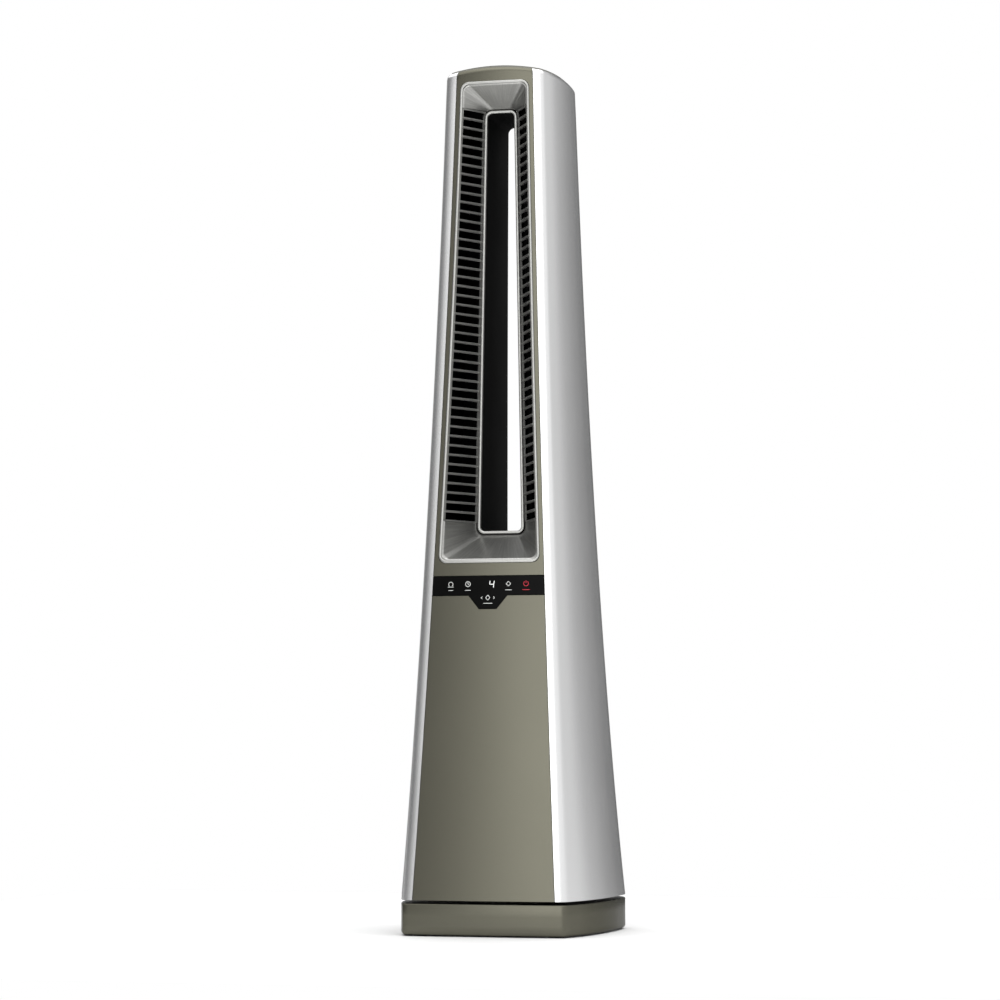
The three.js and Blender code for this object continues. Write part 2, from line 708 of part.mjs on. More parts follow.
// ---------- Blower ----------
const deck = loft([DECK_Z, DECK_Z + 3].map((z) => bodyRing(z, SKIN + 1.2)));
addPart('blower_deck', deck.subtract(cylinder(INLET_RADIUS + 8, 200, 220)), blackPlastic);
const bell = [
  [INLET_RADIUS + 12, DECK_Z - GAP], [INLET_RADIUS + 12, DECK_Z - 3], [INLET_RADIUS + 5, DECK_Z - 3],
  [INLET_RADIUS, DECK_Z + 4], [INLET_RADIUS, DECK_Z + 10], [INLET_RADIUS + 2.5, DECK_Z + 10],
  [INLET_RADIUS + 2.5, DECK_Z + 5], [INLET_RADIUS + 7, DECK_Z - GAP]
];
addPart('inlet_bellmouth', turned(bell), greyPlastic);

const housingLow = DECK_Z + 3 + GAP;
addPart(
  'blower_housing',
  turned([
    [HOUSING_RADIUS - 2.5, housingLow], [HOUSING_RADIUS + 5, housingLow], [HOUSING_RADIUS + 5, housingLow + 3],
    [HOUSING_RADIUS, housingLow + 3], [HOUSING_RADIUS, HOUSING_TOP], [HOUSING_RADIUS - 2.5, HOUSING_TOP]
  ]),
  blackPlastic
);

const impellerTop = IMPELLER_BOTTOM + IMPELLER_HEIGHT;
function impeller() {
  const backPlate = turned([
    [6, impellerTop - 8], [22, impellerTop - 8], [IMPELLER_RADIUS, impellerTop - 2.5],
    [IMPELLER_RADIUS, impellerTop], [6, impellerTop]
  ]);
  const shroud = turned([
    [INLET_RADIUS + 3.5, IMPELLER_BOTTOM], [IMPELLER_RADIUS, IMPELLER_BOTTOM + 8],
    [IMPELLER_RADIUS, IMPELLER_BOTTOM + 10], [INLET_RADIUS + 3.5, IMPELLER_BOTTOM + 2]
  ]);
  const parts = [backPlate, shroud];
  for (let i = 0; i < BLADES; i++) {
    const blade = box(38, IMPELLER_RADIUS - 0.5, -0.9, 0.9, IMPELLER_BOTTOM + 7.5, impellerTop - 3);
    const swept = blade.rotate([0, 0, -38]).translate([20, 18, 0]);
    parts.push(swept.rotate([0, 0, i * 360 / BLADES]));
  }
  return union(parts).intersect(cylinder(IMPELLER_RADIUS, IMPELLER_BOTTOM, impellerTop, 0, 0, 28));
}
addPart('blower_impeller', impeller(), greyPlastic);
const motorLow = impellerTop + 3;
addPart('rotor_shaft', cylinder(5.7, IMPELLER_BOTTOM + 20, motorLow + 6, 0, 0, 20), steel);

const motorRadius = 31;
const motorTop = motorLow + 42;
const motorCan = turned([
  [0, motorLow], [motorRadius - 3, motorLow], [motorRadius, motorLow + 3],
  [motorRadius, motorTop - 6], [motorRadius - 9, motorTop], [0, motorTop]
]);
addPart('blower_motor', motorCan.subtract(cylinder(6.2, motorLow - 2, motorLow + 8, 0, 0, 20)), steel);

function diffuser() {
  const low = motorLow + 6;
  const high = motorLow + 30;
  const ring = (r0, r1) => turned([[r0, low], [r1, low], [r1, high], [r0, high]]);
  const parts = [
    ring(motorRadius + GAP, motorRadius + 3),
    ring(HOUSING_RADIUS - 2.5 - GAP - 2, HOUSING_RADIUS - 2.5 - GAP)
  ];
  const vanes = 9;
  for (let i = 0; i < vanes; i++) {
    const vane = box(motorRadius + 2, HOUSING_RADIUS - 4, -0.9, 0.9, -10.5, 10.5);
    const leaning = vane.rotate([24, 0, 0]).translate([0, 0, motorLow + 18]);
    parts.push(leaning.rotate([0, 0, i * 360 / vanes]));
  }
  const zone = cylinder(HOUSING_RADIUS - 2.9, low, high, 0, 0, 28);
  const core = cylinder(motorRadius + GAP, motorLow, motorLow + 40, 0, 0, 28);
  return union(parts).intersect(zone).subtract(core);
}
addPart('diffuser_ring', diffuser(), greyPlastic);

// Plenum: the round outlet of the blower widens to a box under the two ducts.
const plenumLow = HOUSING_TOP + GAP;
const plenumHigh = 404;
const plenumWall = 2;
const plenumHalfX = 66;
const plenumHalfY = 48;
const plenumRear = 8;
const squareness = 1.3;
function plenumRing(z, inset) {
  const share = (z - plenumLow) / (plenumHigh - plenumLow);
  const sides = 24;
  const ring = [];
  for (let i = 0; i < sides; i++) {
    const a = (i + 0.5) / sides * 2 * Math.PI;
    const round = new THREE.Vector2(Math.cos(a), Math.sin(a)).multiplyScalar(HOUSING_RADIUS - inset);
    const scale = Math.min(squareness, 1 / Math.max(Math.abs(Math.cos(a)), Math.abs(Math.sin(a))));
    const boxX = Math.cos(a) * scale * (plenumHalfX - inset);
    const boxY = Math.sin(a) * scale * (plenumHalfY - inset) + plenumRear;
    ring.push(new THREE.Vector3(
      THREE.MathUtils.lerp(round.x, boxX, share), THREE.MathUtils.lerp(round.y, boxY, share), z
    ));
  }
  return ring;
}
const plenumLevels = [0, 0.5, 1].map((t) => plenumLow + t * (plenumHigh - plenumLow));
const plenumOuter = loft(plenumLevels.map((z) => plenumRing(z, 0)));
const plenumInner = loft([
  plenumRing(plenumLow, plenumWall).map((p) => new THREE.Vector3(p.x, p.y, p.z - 3)),
  ...plenumLevels.slice(1, -1).map((z) => plenumRing(z, plenumWall)),
  plenumRing(plenumHigh, plenumWall).map((p) => new THREE.Vector3(p.x, p.y, p.z + 3))
]);
addPart('air_plenum', plenumOuter.subtract(plenumInner), blackPlastic);

// Each duct is a tall channel, open at its foot and towards its louvre.
const ductLow = plenumHigh + GAP;
const ductHigh = 903;
const ductWall = 1.8;
const ductReachX = FRONT_CORNER[0] + 12;
function ductRing(side, z, inset) {
  const nearX = innerHalf(z) + 1.2 + inset;
  const farX = taperX(ductReachX, z) - SKIN - 3 - inset;
  const frontEdge = INNER_PLANE_Y + 8 + inset;
  const rearEdge = taperY(70, z) - 6 - inset;
  return [[nearX, frontEdge], [farX, frontEdge], [farX, rearEdge], [nearX, rearEdge]].map(
    ([x, y]) => new THREE.Vector3(side * x, y, z)
  );
}
function duct(side) {
  const levels = [0, 0.25, 0.5, 0.75, 1].map((t) => ductLow + t * (ductHigh - ductLow));
  const outer = loft(levels.map((z) => ductRing(side, z, 0)));
  const inner = loft([
    ductRing(side, ductLow, ductWall).map((p) => new THREE.Vector3(p.x, p.y, p.z - 4)),
    ...levels.slice(1, -1).map((z) => ductRing(side, z, ductWall)),
    ductRing(side, ductHigh - 2, ductWall)
  ]);
  const mouth = loft([ductLow + 30, ductHigh - 12].map((z) => {
    const near = innerHalf(z) + 5;
    const far = taperX(ductReachX, z) - SKIN - 8;
    return [[near, -60], [far, -60], [far, -30], [near, -30]].map(
      ([x, y]) => new THREE.Vector3(side * x, y, z)
    );
  }));
  return outer.subtract(inner).subtract(mouth);
}
addPart('left_air_duct', duct(-1), blackPlastic);
addPart('right_air_duct', duct(1), blackPlastic);

// ---------- Electronics in the lower body ----------
const boardSeat = BODY_BOTTOM + 3 + GAP;
const boardParts = [
  box(-46, 46, -88, -86.2, boardSeat + 8, boardSeat + 78),
  box(-40, -16, -86.5, -62, boardSeat + 14, boardSeat + 40),
  box(6, 20, -86.5, -70, boardSeat + 16, boardSeat + 46),
  cylinderY(8, -86.5, -64, 32, boardSeat + 28, 20),
  box(-34, -12, -86.5, -78, boardSeat + 50, boardSeat + 68)
];
addPart('power_board', union(boardParts), copperBoard);
const carrier = box(-50, 50, -90.5, -88.3, boardSeat, boardSeat + 82).add(
  box(-50, 50, -90.5, -74, boardSeat, boardSeat + 2)
);
addPart('board_carrier', carrier, blackPlastic);
const ionizer = box(-16, 16, 74, 87, 344, 372).subtract(cylinderY(3, 50, 78, 8, 358, 16));
addPart('ionizer_module', ionizer, whitePlastic);

export default group;
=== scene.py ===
"""Tower fan with an open air loop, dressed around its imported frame."""
import json
import math
import bmesh
import bpy
import numpy as np
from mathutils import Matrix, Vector


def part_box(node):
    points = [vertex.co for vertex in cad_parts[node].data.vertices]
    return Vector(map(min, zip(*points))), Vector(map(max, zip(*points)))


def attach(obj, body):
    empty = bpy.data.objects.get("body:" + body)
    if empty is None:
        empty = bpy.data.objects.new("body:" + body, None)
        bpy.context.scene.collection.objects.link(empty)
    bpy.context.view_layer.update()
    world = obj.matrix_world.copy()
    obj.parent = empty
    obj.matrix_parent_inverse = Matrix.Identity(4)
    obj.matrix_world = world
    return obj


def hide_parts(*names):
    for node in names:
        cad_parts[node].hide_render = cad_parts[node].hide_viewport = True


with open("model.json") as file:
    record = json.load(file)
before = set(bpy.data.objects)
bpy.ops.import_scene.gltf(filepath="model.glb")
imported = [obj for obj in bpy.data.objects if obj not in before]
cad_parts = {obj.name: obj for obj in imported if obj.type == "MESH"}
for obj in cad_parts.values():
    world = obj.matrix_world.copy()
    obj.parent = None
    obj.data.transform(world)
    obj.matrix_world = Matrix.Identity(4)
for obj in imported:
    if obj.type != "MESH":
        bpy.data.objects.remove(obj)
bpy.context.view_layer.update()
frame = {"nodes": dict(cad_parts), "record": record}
MM = 0.001

# ---------------- base cover
# A shallow moulded ABS tray, turned upside down and sprayed metallic olive grey. It clips over
# the steel bottom plate, and its plan is the plan that the whole tapering body grows from.
FRONT_Y, CORNER, REAR_Y = -120.0, (89.0, -117.0), 120.0
SIDE_KNOTS = np.array([CORNER, (100, -84), (106.5, -50), (110.8, -8), (112, 40),
                       (108.7, 86), (93, 111), (60, 118.5), (0, REAR_Y)], float)


def through_knots(knots, steps):
    """A curve through the knots: between two of them, the cubic whose slope at each knot is
    half the step from the knot before to the knot after."""
    padded = np.vstack([knots[:1], knots, knots[-1:]])
    t = np.linspace(0, 1, steps, endpoint=False)[None, :, None]
    a, b, c, d = (padded[i:i + len(knots) - 1, None, :] for i in range(4))
    slope_b, slope_c = (c - a) / 2, (d - b) / 2
    cubic = (2 * b - 2 * c + slope_b + slope_c) * t ** 3
    curve = cubic + (-3 * b + 3 * c - 2 * slope_b - slope_c) * t ** 2 + slope_b * t + b
    return np.vstack([curve.reshape(-1, 2), knots[-1:]])


PLAN_POINTS = 4800


def plan_curve(softness):
    """The closed foot plan, even along its length: a parabola across the front, the curve
    through the side knots and its mirror image, then a bell-shaped average over softness mm."""
    x = np.linspace(0, CORNER[0], 120, endpoint=False)
    crown = CORNER[1] - FRONT_Y
    front = np.stack([x, FRONT_Y + crown * (x / CORNER[0]) ** 2], 1)
    half = np.vstack([front, through_knots(SIDE_KNOTS, 60)])
    loop = np.vstack([half, half[-2:0:-1] * [-1, 1]])
    closed = np.vstack([loop, loop[:1]])
    length = np.r_[0, np.cumsum(np.hypot(*np.diff(closed, axis=0).T))]
    even = np.linspace(0, length[-1], PLAN_POINTS, endpoint=False)
    curve = np.stack([np.interp(even, length, closed[:, i]) for i in (0, 1)], 1)
    reach = np.arange(-PLAN_POINTS // 2, PLAN_POINTS // 2) * length[-1] / PLAN_POINTS
    bell = np.exp(-0.5 * (reach / softness) ** 2)
    bell = np.fft.rfft(np.fft.ifftshift(bell / bell.sum()))
    softened = [np.fft.irfft(np.fft.rfft(curve[:, i]) * bell, PLAN_POINTS) for i in (0, 1)]
    return np.stack(softened, 1)


def inward(curve):
    """Unit vectors pointing into a closed counter-clockwise curve."""
    along = np.roll(curve, -1, 0) - np.roll(curve, 1, 0)
    along /= np.linalg.norm(along, axis=1, keepdims=True)
    return np.stack([-along[:, 1], along[:, 0]], 1)


def make_mesh(name, points, faces, material):
    """An object from points in millimetres, an array or list of faces and a material."""
    mesh = bpy.data.meshes.new(name)
    mesh.from_pydata((np.asarray(points).reshape(-1, 3) * MM).tolist(), [],
                     [list(map(int, f)) for f in faces])
    mesh.validate()
    piece = bpy.data.objects.new(name, mesh)
    bpy.context.scene.collection.objects.link(piece)
    mesh.shade_smooth()
    mesh.materials.append(material)
    return piece


def grid_faces(rows, columns, wrap_rows=False, wrap_columns=False, flip=False):
    """Four-sided faces of a grid of points stored row after row."""
    r = np.arange(rows if wrap_rows else rows - 1)
    c = np.arange(columns if wrap_columns else columns - 1)
    r, c = np.meshgrid(r, c, indexing="ij")
    r2, c2 = (r + 1) % rows, (c + 1) % columns
    quads = np.stack([r * columns + c, r * columns + c2, r2 * columns + c2, r2 * columns + c], -1)
    quads = quads.reshape(-1, 4)
    return quads[:, ::-1] if flip else quads


def tube_faces(rows, columns, start=0):
    """The sides and both ends of a tube whose points are stored ring after ring."""
    ring = np.arange(columns) + start
    return (list(grid_faces(rows, columns, wrap_columns=True) + start)
            + [ring[::-1], ring + (rows - 1) * columns])


def crease(piece, degrees):
    """Sharp edges past an angle in an otherwise smooth mesh."""
    piece.data.set_sharp_from_angle(angle=math.radians(degrees))


def outward(piece):
    """Turns a closed mesh's faces to point out, after its doubles are merged."""
    work = bmesh.new()
    work.from_mesh(piece.data)
    bmesh.ops.remove_doubles(work, verts=work.verts, dist=2e-6)
    bmesh.ops.recalc_face_normals(work, faces=work.faces)
    work.to_mesh(piece.data)
    work.free()


def node(tree, kind, **settings):
    """A shader node of a kind, with its sockets or properties set by name."""
    new = tree.nodes.new("ShaderNode" + kind)
    for key, value in settings.items():
        if key in new.inputs:
            new.inputs[key].default_value = value
        else:
            setattr(new, key, value)
    return new


def effect_group(name, inputs, outputs):
    """An empty shader group with float inputs and outputs."""
    tree = bpy.data.node_groups.new(name, "ShaderNodeTree")
    tree.interface.new_socket("Vector", in_out="INPUT", socket_type="NodeSocketVector")
    for label, value in inputs.items():
        socket = tree.interface.new_socket(label, in_out="INPUT", socket_type="NodeSocketFloat")
        socket.default_value = value
    for label in outputs:
        tree.interface.new_socket(label, in_out="OUTPUT", socket_type="NodeSocketFloat")
    return tree, tree.nodes.new("NodeGroupInput"), tree.nodes.new("NodeGroupOutput")


def paint_effect():
    """Metal flake, orange peel and faint handling marks on sprayed plastic."""
    tree, start, end = effect_group(
        "sprayed flake", {"Flake Scale": 1400.0, "Peel Scale": 140.0},
        ["Flake", "Height", "Smudge"])
    link = tree.links.new
    cells = node(tree, "TexVoronoi", Randomness=1.0)
    link(start.outputs["Vector"], cells.inputs["Vector"])
    link(start.outputs["Flake Scale"], cells.inputs["Scale"])
    shade = node(tree, "SeparateColor")
    link(cells.outputs["Color"], shade.inputs[0])
    link(shade.outputs[0], end.inputs["Flake"])
    peel = node(tree, "TexNoise", Detail=2.0)
    link(start.outputs["Vector"], peel.inputs["Vector"])
    link(start.outputs["Peel Scale"], peel.inputs["Scale"])
    link(peel.outputs["Fac"], end.inputs["Height"])
    marks = node(tree, "TexNoise", Scale=9.0, Detail=2.0)
    link(start.outputs["Vector"], marks.inputs["Vector"])
    link(marks.outputs["Fac"], end.inputs["Smudge"])
    return tree


SPRAYED = paint_effect()


def new_material(name):
    """A material, its tree, its shader and the object's own coordinates."""
    material = bpy.data.materials.new(name)
    material.use_nodes = True
    tree = material.node_tree
    place = node(tree, "TexCoord").outputs["Object"]
    return material, tree, tree.nodes["Principled BSDF"], place


def place_group(tree, group, vector):
    """Puts a shared effect into a material."""
    new = node(tree, "Group", node_tree=group)
    tree.links.new(vector, new.inputs["Vector"])
    return new


def tint_by(tree, shader, share, dark, light):
    """A base colour carried from dark to light by share."""
    tint = node(tree, "Mix", data_type="RGBA")
    tint.inputs[6].default_value = (*dark, 1)
    tint.inputs[7].default_value = (*light, 1)
    tree.links.new(share, tint.inputs[0])
    tree.links.new(tint.outputs[2], shader.inputs["Base Color"])


def bump_by(tree, shader, height, strength, distance):
    """A surface shaded by a small height."""
    bump = node(tree, "Bump", Strength=strength, Distance=distance)
    tree.links.new(height, bump.inputs["Height"])
    tree.links.new(bump.outputs["Normal"], shader.inputs["Normal"])


def ranged(tree, source, low, high, from_low=0.0, from_high=1.0):
    """A value carried from one range to another."""
    new = node(tree, "MapRange")
    for label, value in (("From Min", from_low), ("From Max", from_high),
                         ("To Min", low), ("To Max", high)):
        new.inputs[label].default_value = value
    tree.links.new(source, new.inputs["Value"])
    return new.outputs["Result"]


def sprayed_paint(name, dark, light, roughness, metallic, coat=0.1, peel=0.005, flake=0.5,
                  rim=0.5):
    """Metallic paint under a satin clear coat: two tints picked by the flakes, and a
    roughness and surface that vary a little."""
    material, tree, shader, place = new_material(name)
    effect = place_group(tree, SPRAYED, place)
    flakes = ranged(tree, effect.outputs["Flake"], 0.5 - flake / 2, 0.5 + flake / 2)
    tint_by(tree, shader, flakes, dark, light)
    tree.links.new(ranged(tree, effect.outputs["Smudge"], roughness - 0.02, roughness + 0.02,
                          0.2, 0.8), shader.inputs["Roughness"])
    bump_by(tree, shader, effect.outputs["Height"], peel, 0.0004)
    shader.inputs["Metallic"].default_value = metallic
    shader.inputs["Coat Weight"].default_value = coat
    shader.inputs["Coat Roughness"].default_value = 0.16
    shader.inputs["Specular Tint"].default_value = (rim, rim, rim, 1)
    return material


def grain_effect():
    """Spark-eroded grain of a moulding tool: fine pits over a slower ripple."""
    tree, start, end = effect_group(
        "moulded grain", {"Grain Scale": 1500.0}, ["Height", "Sheen Mask"])
    link = tree.links.new
    fine = node(tree, "TexNoise", Detail=3.0, Roughness=0.7)
    link(start.outputs["Vector"], fine.inputs["Vector"])
    link(start.outputs["Grain Scale"], fine.inputs["Scale"])
    link(fine.outputs["Fac"], end.inputs["Height"])
    slow = node(tree, "TexNoise", Scale=14.0, Detail=4.0)
    link(start.outputs["Vector"], slow.inputs["Vector"])
    link(slow.outputs["Fac"], end.inputs["Sheen Mask"])
    return tree


MOULDED = grain_effect()


def moulded(name, colour, roughness=0.5, metallic=0.0, grain=0.25, spread=0.2, shine=0.5):
    """Moulded plastic or rubber, its colour, gloss and surface varying with the tool grain."""
    material, tree, shader, place = new_material(name)
    effect = place_group(tree, MOULDED, place)
    mask = effect.outputs["Sheen Mask"]
    tint_by(tree, shader, ranged(tree, mask, 0, 1, 0.3, 0.7),
            [c * (1 - spread) for c in colour], [min(1, c * (1 + spread)) for c in colour])
    tree.links.new(ranged(tree, mask, roughness - 0.05, roughness + 0.05, 0.3, 0.7),
                   shader.inputs["Roughness"])
    bump_by(tree, shader, effect.outputs["Height"], grain, 0.0003)
    shader.inputs["Metallic"].default_value = metallic
    shader.inputs["Specular IOR Level"].default_value = shine
    return material


olive_paint = sprayed_paint("olive grey paint", (0.108, 0.105, 0.081), (0.118, 0.114, 0.089),
                            0.25, 0.9, coat=0.08, rim=0.35)
BASE_TOP, BASE_LIP, BASE_CEILING, POST_HOLE = 34.5, 1.5, 31.5, 18.6
base_curve = plan_curve(2.4)
base_inward = inward(base_curve)


def base_ring(inset, z, share):
    """The plan curve moved in by inset at height z, blended by share into the post's hole."""
    ring = base_curve + base_inward * inset
    angle = np.arctan2(ring[:, 1], ring[:, 0])
    hole = np.stack([np.cos(angle), np.sin(angle)], 1) * POST_HOLE
    return np.column_stack([ring * (1 - share) + hole * share, np.full(len(ring), z)])


# Every twentieth point of the plan, and every fifth one round the two front corners.
picks = np.unique(np.r_[np.arange(0, PLAN_POINTS, 20), np.arange(360, 620, 5),
                        np.arange(4180, 4440, 5)])
base_rings = [base_ring(*row)[picks] for row in (
    (3.8, BASE_CEILING, 0), (3.8, 1.6, 0), (3.0, BASE_LIP, 0), (2.4, BASE_LIP, 0),
    (1.4, 1.9, 0), (0.6, 2.7, 0), (0.15, 3.7, 0), (0, 4.8, 0), (0, 12, 0), (0, 22, 0),
    (0, 32.9, 0), (0.15, 33.7, 0), (0.55, 34.25, 0), (1.2, BASE_TOP, 0), (2.2, BASE_TOP, 0),
    (3, BASE_TOP, 0.5), (3, BASE_TOP, 1), (3, BASE_CEILING, 1))]
base_piece = make_mesh("base_cover_skin", np.stack(base_rings),
                       grid_faces(len(base_rings), len(picks), True, True), olive_paint)
outward(base_piece)
crease(base_piece, 40)
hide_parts("base_cover")
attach(base_piece, "base")

# ---------------- inside the base
# Zinc-plated bottom plate, moulded rubber feet, acetal bearing and gear, and the swivel post,
# all screwed or pressed together under the cover. Their own shapes show through the seam.
black_plastic = moulded("black moulded plastic", (0.012, 0.012, 0.012), 0.42)
grey_plastic = moulded("grey moulded plastic", (0.05, 0.05, 0.05), 0.5)
white_plastic = moulded("natural acetal", (0.62, 0.61, 0.56), 0.4, spread=0.08)
soft_rubber = moulded("foot rubber", (0.02, 0.02, 0.02), 0.75, grain=0.5)


def brushed_metal(name, colour, roughness):
    """Plated steel drawn along one direction: long thin streaks in gloss and surface."""
    material, tree, shader, place = new_material(name)
    stretch = node(tree, "Mapping")
    stretch.inputs["Scale"].default_value = (30, 30, 900)
    tree.links.new(place, stretch.inputs["Vector"])
    streak = node(tree, "TexNoise", Scale=3.0, Detail=4.0)
    tree.links.new(stretch.outputs[0], streak.inputs["Vector"])
    tint_by(tree, shader, streak.outputs["Fac"],
            [c * 0.85 for c in colour], [min(1, c * 1.1) for c in colour])
    tree.links.new(ranged(tree, streak.outputs["Fac"], roughness - 0.06, roughness + 0.06),
                   shader.inputs["Roughness"])
    bump_by(tree, shader, streak.outputs["Fac"], 0.06, 0.0002)
    shader.inputs["Metallic"].default_value = 1.0
    return material


plated_steel = brushed_metal("zinc plated steel", (0.5, 0.51, 0.52), 0.33)
duct_black = moulded("air duct plastic", (0.004, 0.004, 0.004), 0.8, shine=0.05)
circuit_green = moulded("solder resist", (0.015, 0.07, 0.03), 0.35, grain=0.4)
finish_of = {"black_plastic": black_plastic, "grey_plastic": grey_plastic,
             "white_plastic": white_plastic, "rubber": soft_rubber, "steel": plated_steel,
             "circuit_board": circuit_green, "olive_paint": olive_paint}
slot_of = {entry["node"]: entry["material_slot"] for entry in frame["record"]["subparts"]}
for name, part in frame["nodes"].items():
    finish = finish_of.get(slot_of[name], black_plastic)
    if finish is black_plastic and "duct" in name:
        finish = duct_black
    for place in part.material_slots:
        place.material = finish

# ---------------- side shells
# Two tall ABS mouldings sprayed bright metallic silver. Each wraps from the front panel's edge
# round the corner and the swelling side to the rear cover, and snaps onto both.
HEIGHT, BODY_FOOT, TAPER_Y = 945.0, 38.0, -12.0
PANEL_HALF, SPLIT_REAR_Y, SEAM, WALL = 78.0, 88.0, 0.3, 3.0
TAPER_RATE, TAPER_EASE = 0.621, 0.165
SWELL_KEPT, SWELL_REACH = 0.48, 0.3
SHOULDER, SHOULDER_HALF, SKIN_TOP = 8.0, 64.3, 942.6
DOME_START, DOME_CURVE_X, DOME_CURVE_Y = 880.0, 0.0022, 0.0008
body_curve = plan_curve(4.2)
body_step = np.arange(len(body_curve)) / len(body_curve)


def rise(z):
    """The share of the body's height reached at height z."""
    return (z - BODY_FOOT) / (HEIGHT - BODY_FOOT)


def taper(z):
    """How far the plan has shrunk at height z, quickly at first and then more slowly."""
    u = rise(z)
    return 1 - TAPER_RATE * u + TAPER_EASE * u * u


def spread_x(x, z):
    """Sideways place at height z: the panel narrows with the taper, the band beside it keeps
    its width, and the side's swell fades, fast above the foot, to about a half."""
    left = SWELL_KEPT + (1 - SWELL_KEPT) * np.exp(-rise(z) / SWELL_REACH)
    across = np.abs(x)
    band = np.clip(across - PANEL_HALF, 0, CORNER[0] - PANEL_HALF)
    swell = np.clip(across - CORNER[0], 0, None) * left
    return np.sign(x) * (np.minimum(across, PANEL_HALF) * taper(z) + band + swell)


def spread_y(y, z):
    """Fore-and-aft place at height z, drawn towards the taper line."""
    return TAPER_Y + (y - TAPER_Y) * taper(z)


def sag(x, y, z):
    """How far the domed top lies below its crest, fading to nothing at the dome's start."""
    blend = np.clip((z - DOME_START) / (HEIGHT - DOME_START), 0, None) ** 2
    return blend * (DOME_CURVE_X * x * x + DOME_CURVE_Y * (y - TAPER_Y) ** 2)


def on_body(x_foot, y_foot, z):
    """A point of the skin from its place in the foot plan and its height: tapered, drawn in
    over the rounded shoulder, and lowered by the dome."""
    q = np.clip((z - (HEIGHT - SHOULDER)) / SHOULDER, 0, 1)
    share = 1 - SHOULDER * (1 - np.sqrt(1 - q * q)) / SHOULDER_HALF
    x = spread_x(x_foot, z) * share
    y = TAPER_Y + (spread_y(y_foot, z) - TAPER_Y) * share
    return np.stack([x, y, z - sag(x, y, z)], -1)


def plan_at(s):
    """The foot plan at shares s of its length, measured from the front centre."""
    closed = np.vstack([body_curve, body_curve[:1]])
    steps = np.linspace(0, 1, len(closed))
    return np.interp(s % 1, steps, closed[:, 0]), np.interp(s % 1, steps, closed[:, 1])


def share_where(values, target, low, high):
    """The share of the plan's length, between low and high, where values reaches target."""
    inside = (body_step >= low) & (body_step <= high)
    v, s = values[inside], body_step[inside]
    order = np.argsort(v)
    return float(np.interp(target, v[order], s[order]))


def thicken(piece, thickness, bevel=0.35, inner=None):
    """Gives a sheet its wall and softens the wall's edges."""
    if inner is not None:
        piece.data.materials.append(inner)
    wall = piece.modifiers.new("wall", "SOLIDIFY")
    wall.thickness = thickness * MM
    wall.use_even_offset = True
    wall.material_offset = 0 if inner is None else 1
    if bevel:
        soft = piece.modifiers.new("soft edge", "BEVEL")
        soft.width = bevel * MM
        soft.segments = 2
        soft.limit_method = "ANGLE"
        soft.angle_limit = math.radians(50)
        soft.harden_normals = True


silver_paint = sprayed_paint("silver paint", (0.724, 0.724, 0.728), (0.738, 0.738, 0.739),
                             0.25, 0.95, coat=0.05, rim=0.4)
seam_front = share_where(body_curve[:, 0], PANEL_HALF + SEAM, 0.0, 0.16)
seam_rear = share_where(body_curve[:, 1], SPLIT_REAR_Y - SEAM, 0.16, 0.45)
around = seam_front + (seam_rear - seam_front) * np.linspace(0, 1, 110) ** 1.35
EVEN_TOP = 930
shell_z = np.r_[np.linspace(BODY_FOOT, EVEN_TOP, 70), np.linspace(EVEN_TOP + 2, SKIN_TOP, 16)]
plan_x, plan_y = plan_at(around)
shell_grid = on_body(plan_x[None, :], plan_y[None, :], shell_z[:, None])
for side, title in ((1, "right"), (-1, "left")):
    shell = make_mesh(f"{title}_shell_skin", shell_grid * [side, 1, 1],
                      grid_faces(*shell_grid.shape[:2], flip=side < 0), silver_paint)
    thicken(shell, WALL, inner=black_plastic)
    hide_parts(f"{title}_side_shell")
    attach(shell, "body")

# ---------------- front panel
# One tall moulding in the same olive grey as the base. It has a large rounded window for the
# air loop, and the glossy control strip lies flush across it.
OUTER_BOTTOM, OUTER_TOP, OUTER_ROUND, OUTER_MARGIN = 397.5, 925.0, 9.0, 4.6
STRIP_TOP, STRIP_BOTTOM, TAB_BOTTOM = 383.5, 362.3, 347.8
TAB_TOP_HALF, TAB_FOOT_HALF = 21.5, 9.8
COLUMNS_HALF, BLEND_FROM, BLEND_RISE = 62.0, 300.0, 45.0


def outer_half(z):
    """Half width of the window's outer ring."""
    return PANEL_HALF * taper(z) - OUTER_MARGIN


EDGE_STEPS, ARC_STEPS, SIDE_STEPS = 24, 14, 120
LOOP_CORNERS = (EDGE_STEPS + ARC_STEPS // 2 - 1,
                EDGE_STEPS + SIDE_STEPS + ARC_STEPS * 3 // 2 - 3)


def window_loop(half_at, z0, z1, corner):
    """A closed upright loop as [x, z]: straight across the foot and the head, sides that
    follow half_at(z), and quarter-circle corners. It starts at the middle of the foot."""
    a = np.linspace(0, math.pi / 2, ARC_STEPS)[:, None]
    foot_z, head_z = z0 + corner * (1 - np.cos(a)), z1 - corner * (1 - np.sin(a))
    low = np.hstack([half_at(foot_z) - corner * (1 - np.sin(a)), foot_z])
    high = np.hstack([half_at(head_z) - corner * (1 - np.cos(a)), head_z])
    side_z = np.linspace(z0 + corner, z1 - corner, SIDE_STEPS)[1:-1, None]
    side = np.hstack([half_at(side_z), side_z])
    foot = np.linspace([0, z0], low[0], EDGE_STEPS)[:-1]
    head = np.linspace(high[-1], [0, z1], EDGE_STEPS)[1:]
    right = np.vstack([foot, low, side, high, head])
    return np.vstack([right, right[-2:0:-1] * [-1, 1]])


def front_y(x, z):
    """The front face's place fore and aft, crowned across its width."""
    crown = (CORNER[1] - FRONT_Y) * taper(z)
    return spread_y(FRONT_Y, z) + crown * (x / spread_x(CORNER[0], z)) ** 2


def to_foot(x, z):
    """A front point's place in the foot plan, and the height that the dome lowers to z."""
    raised = z + sag(x, front_y(x, z), z)
    return x / taper(raised), raised


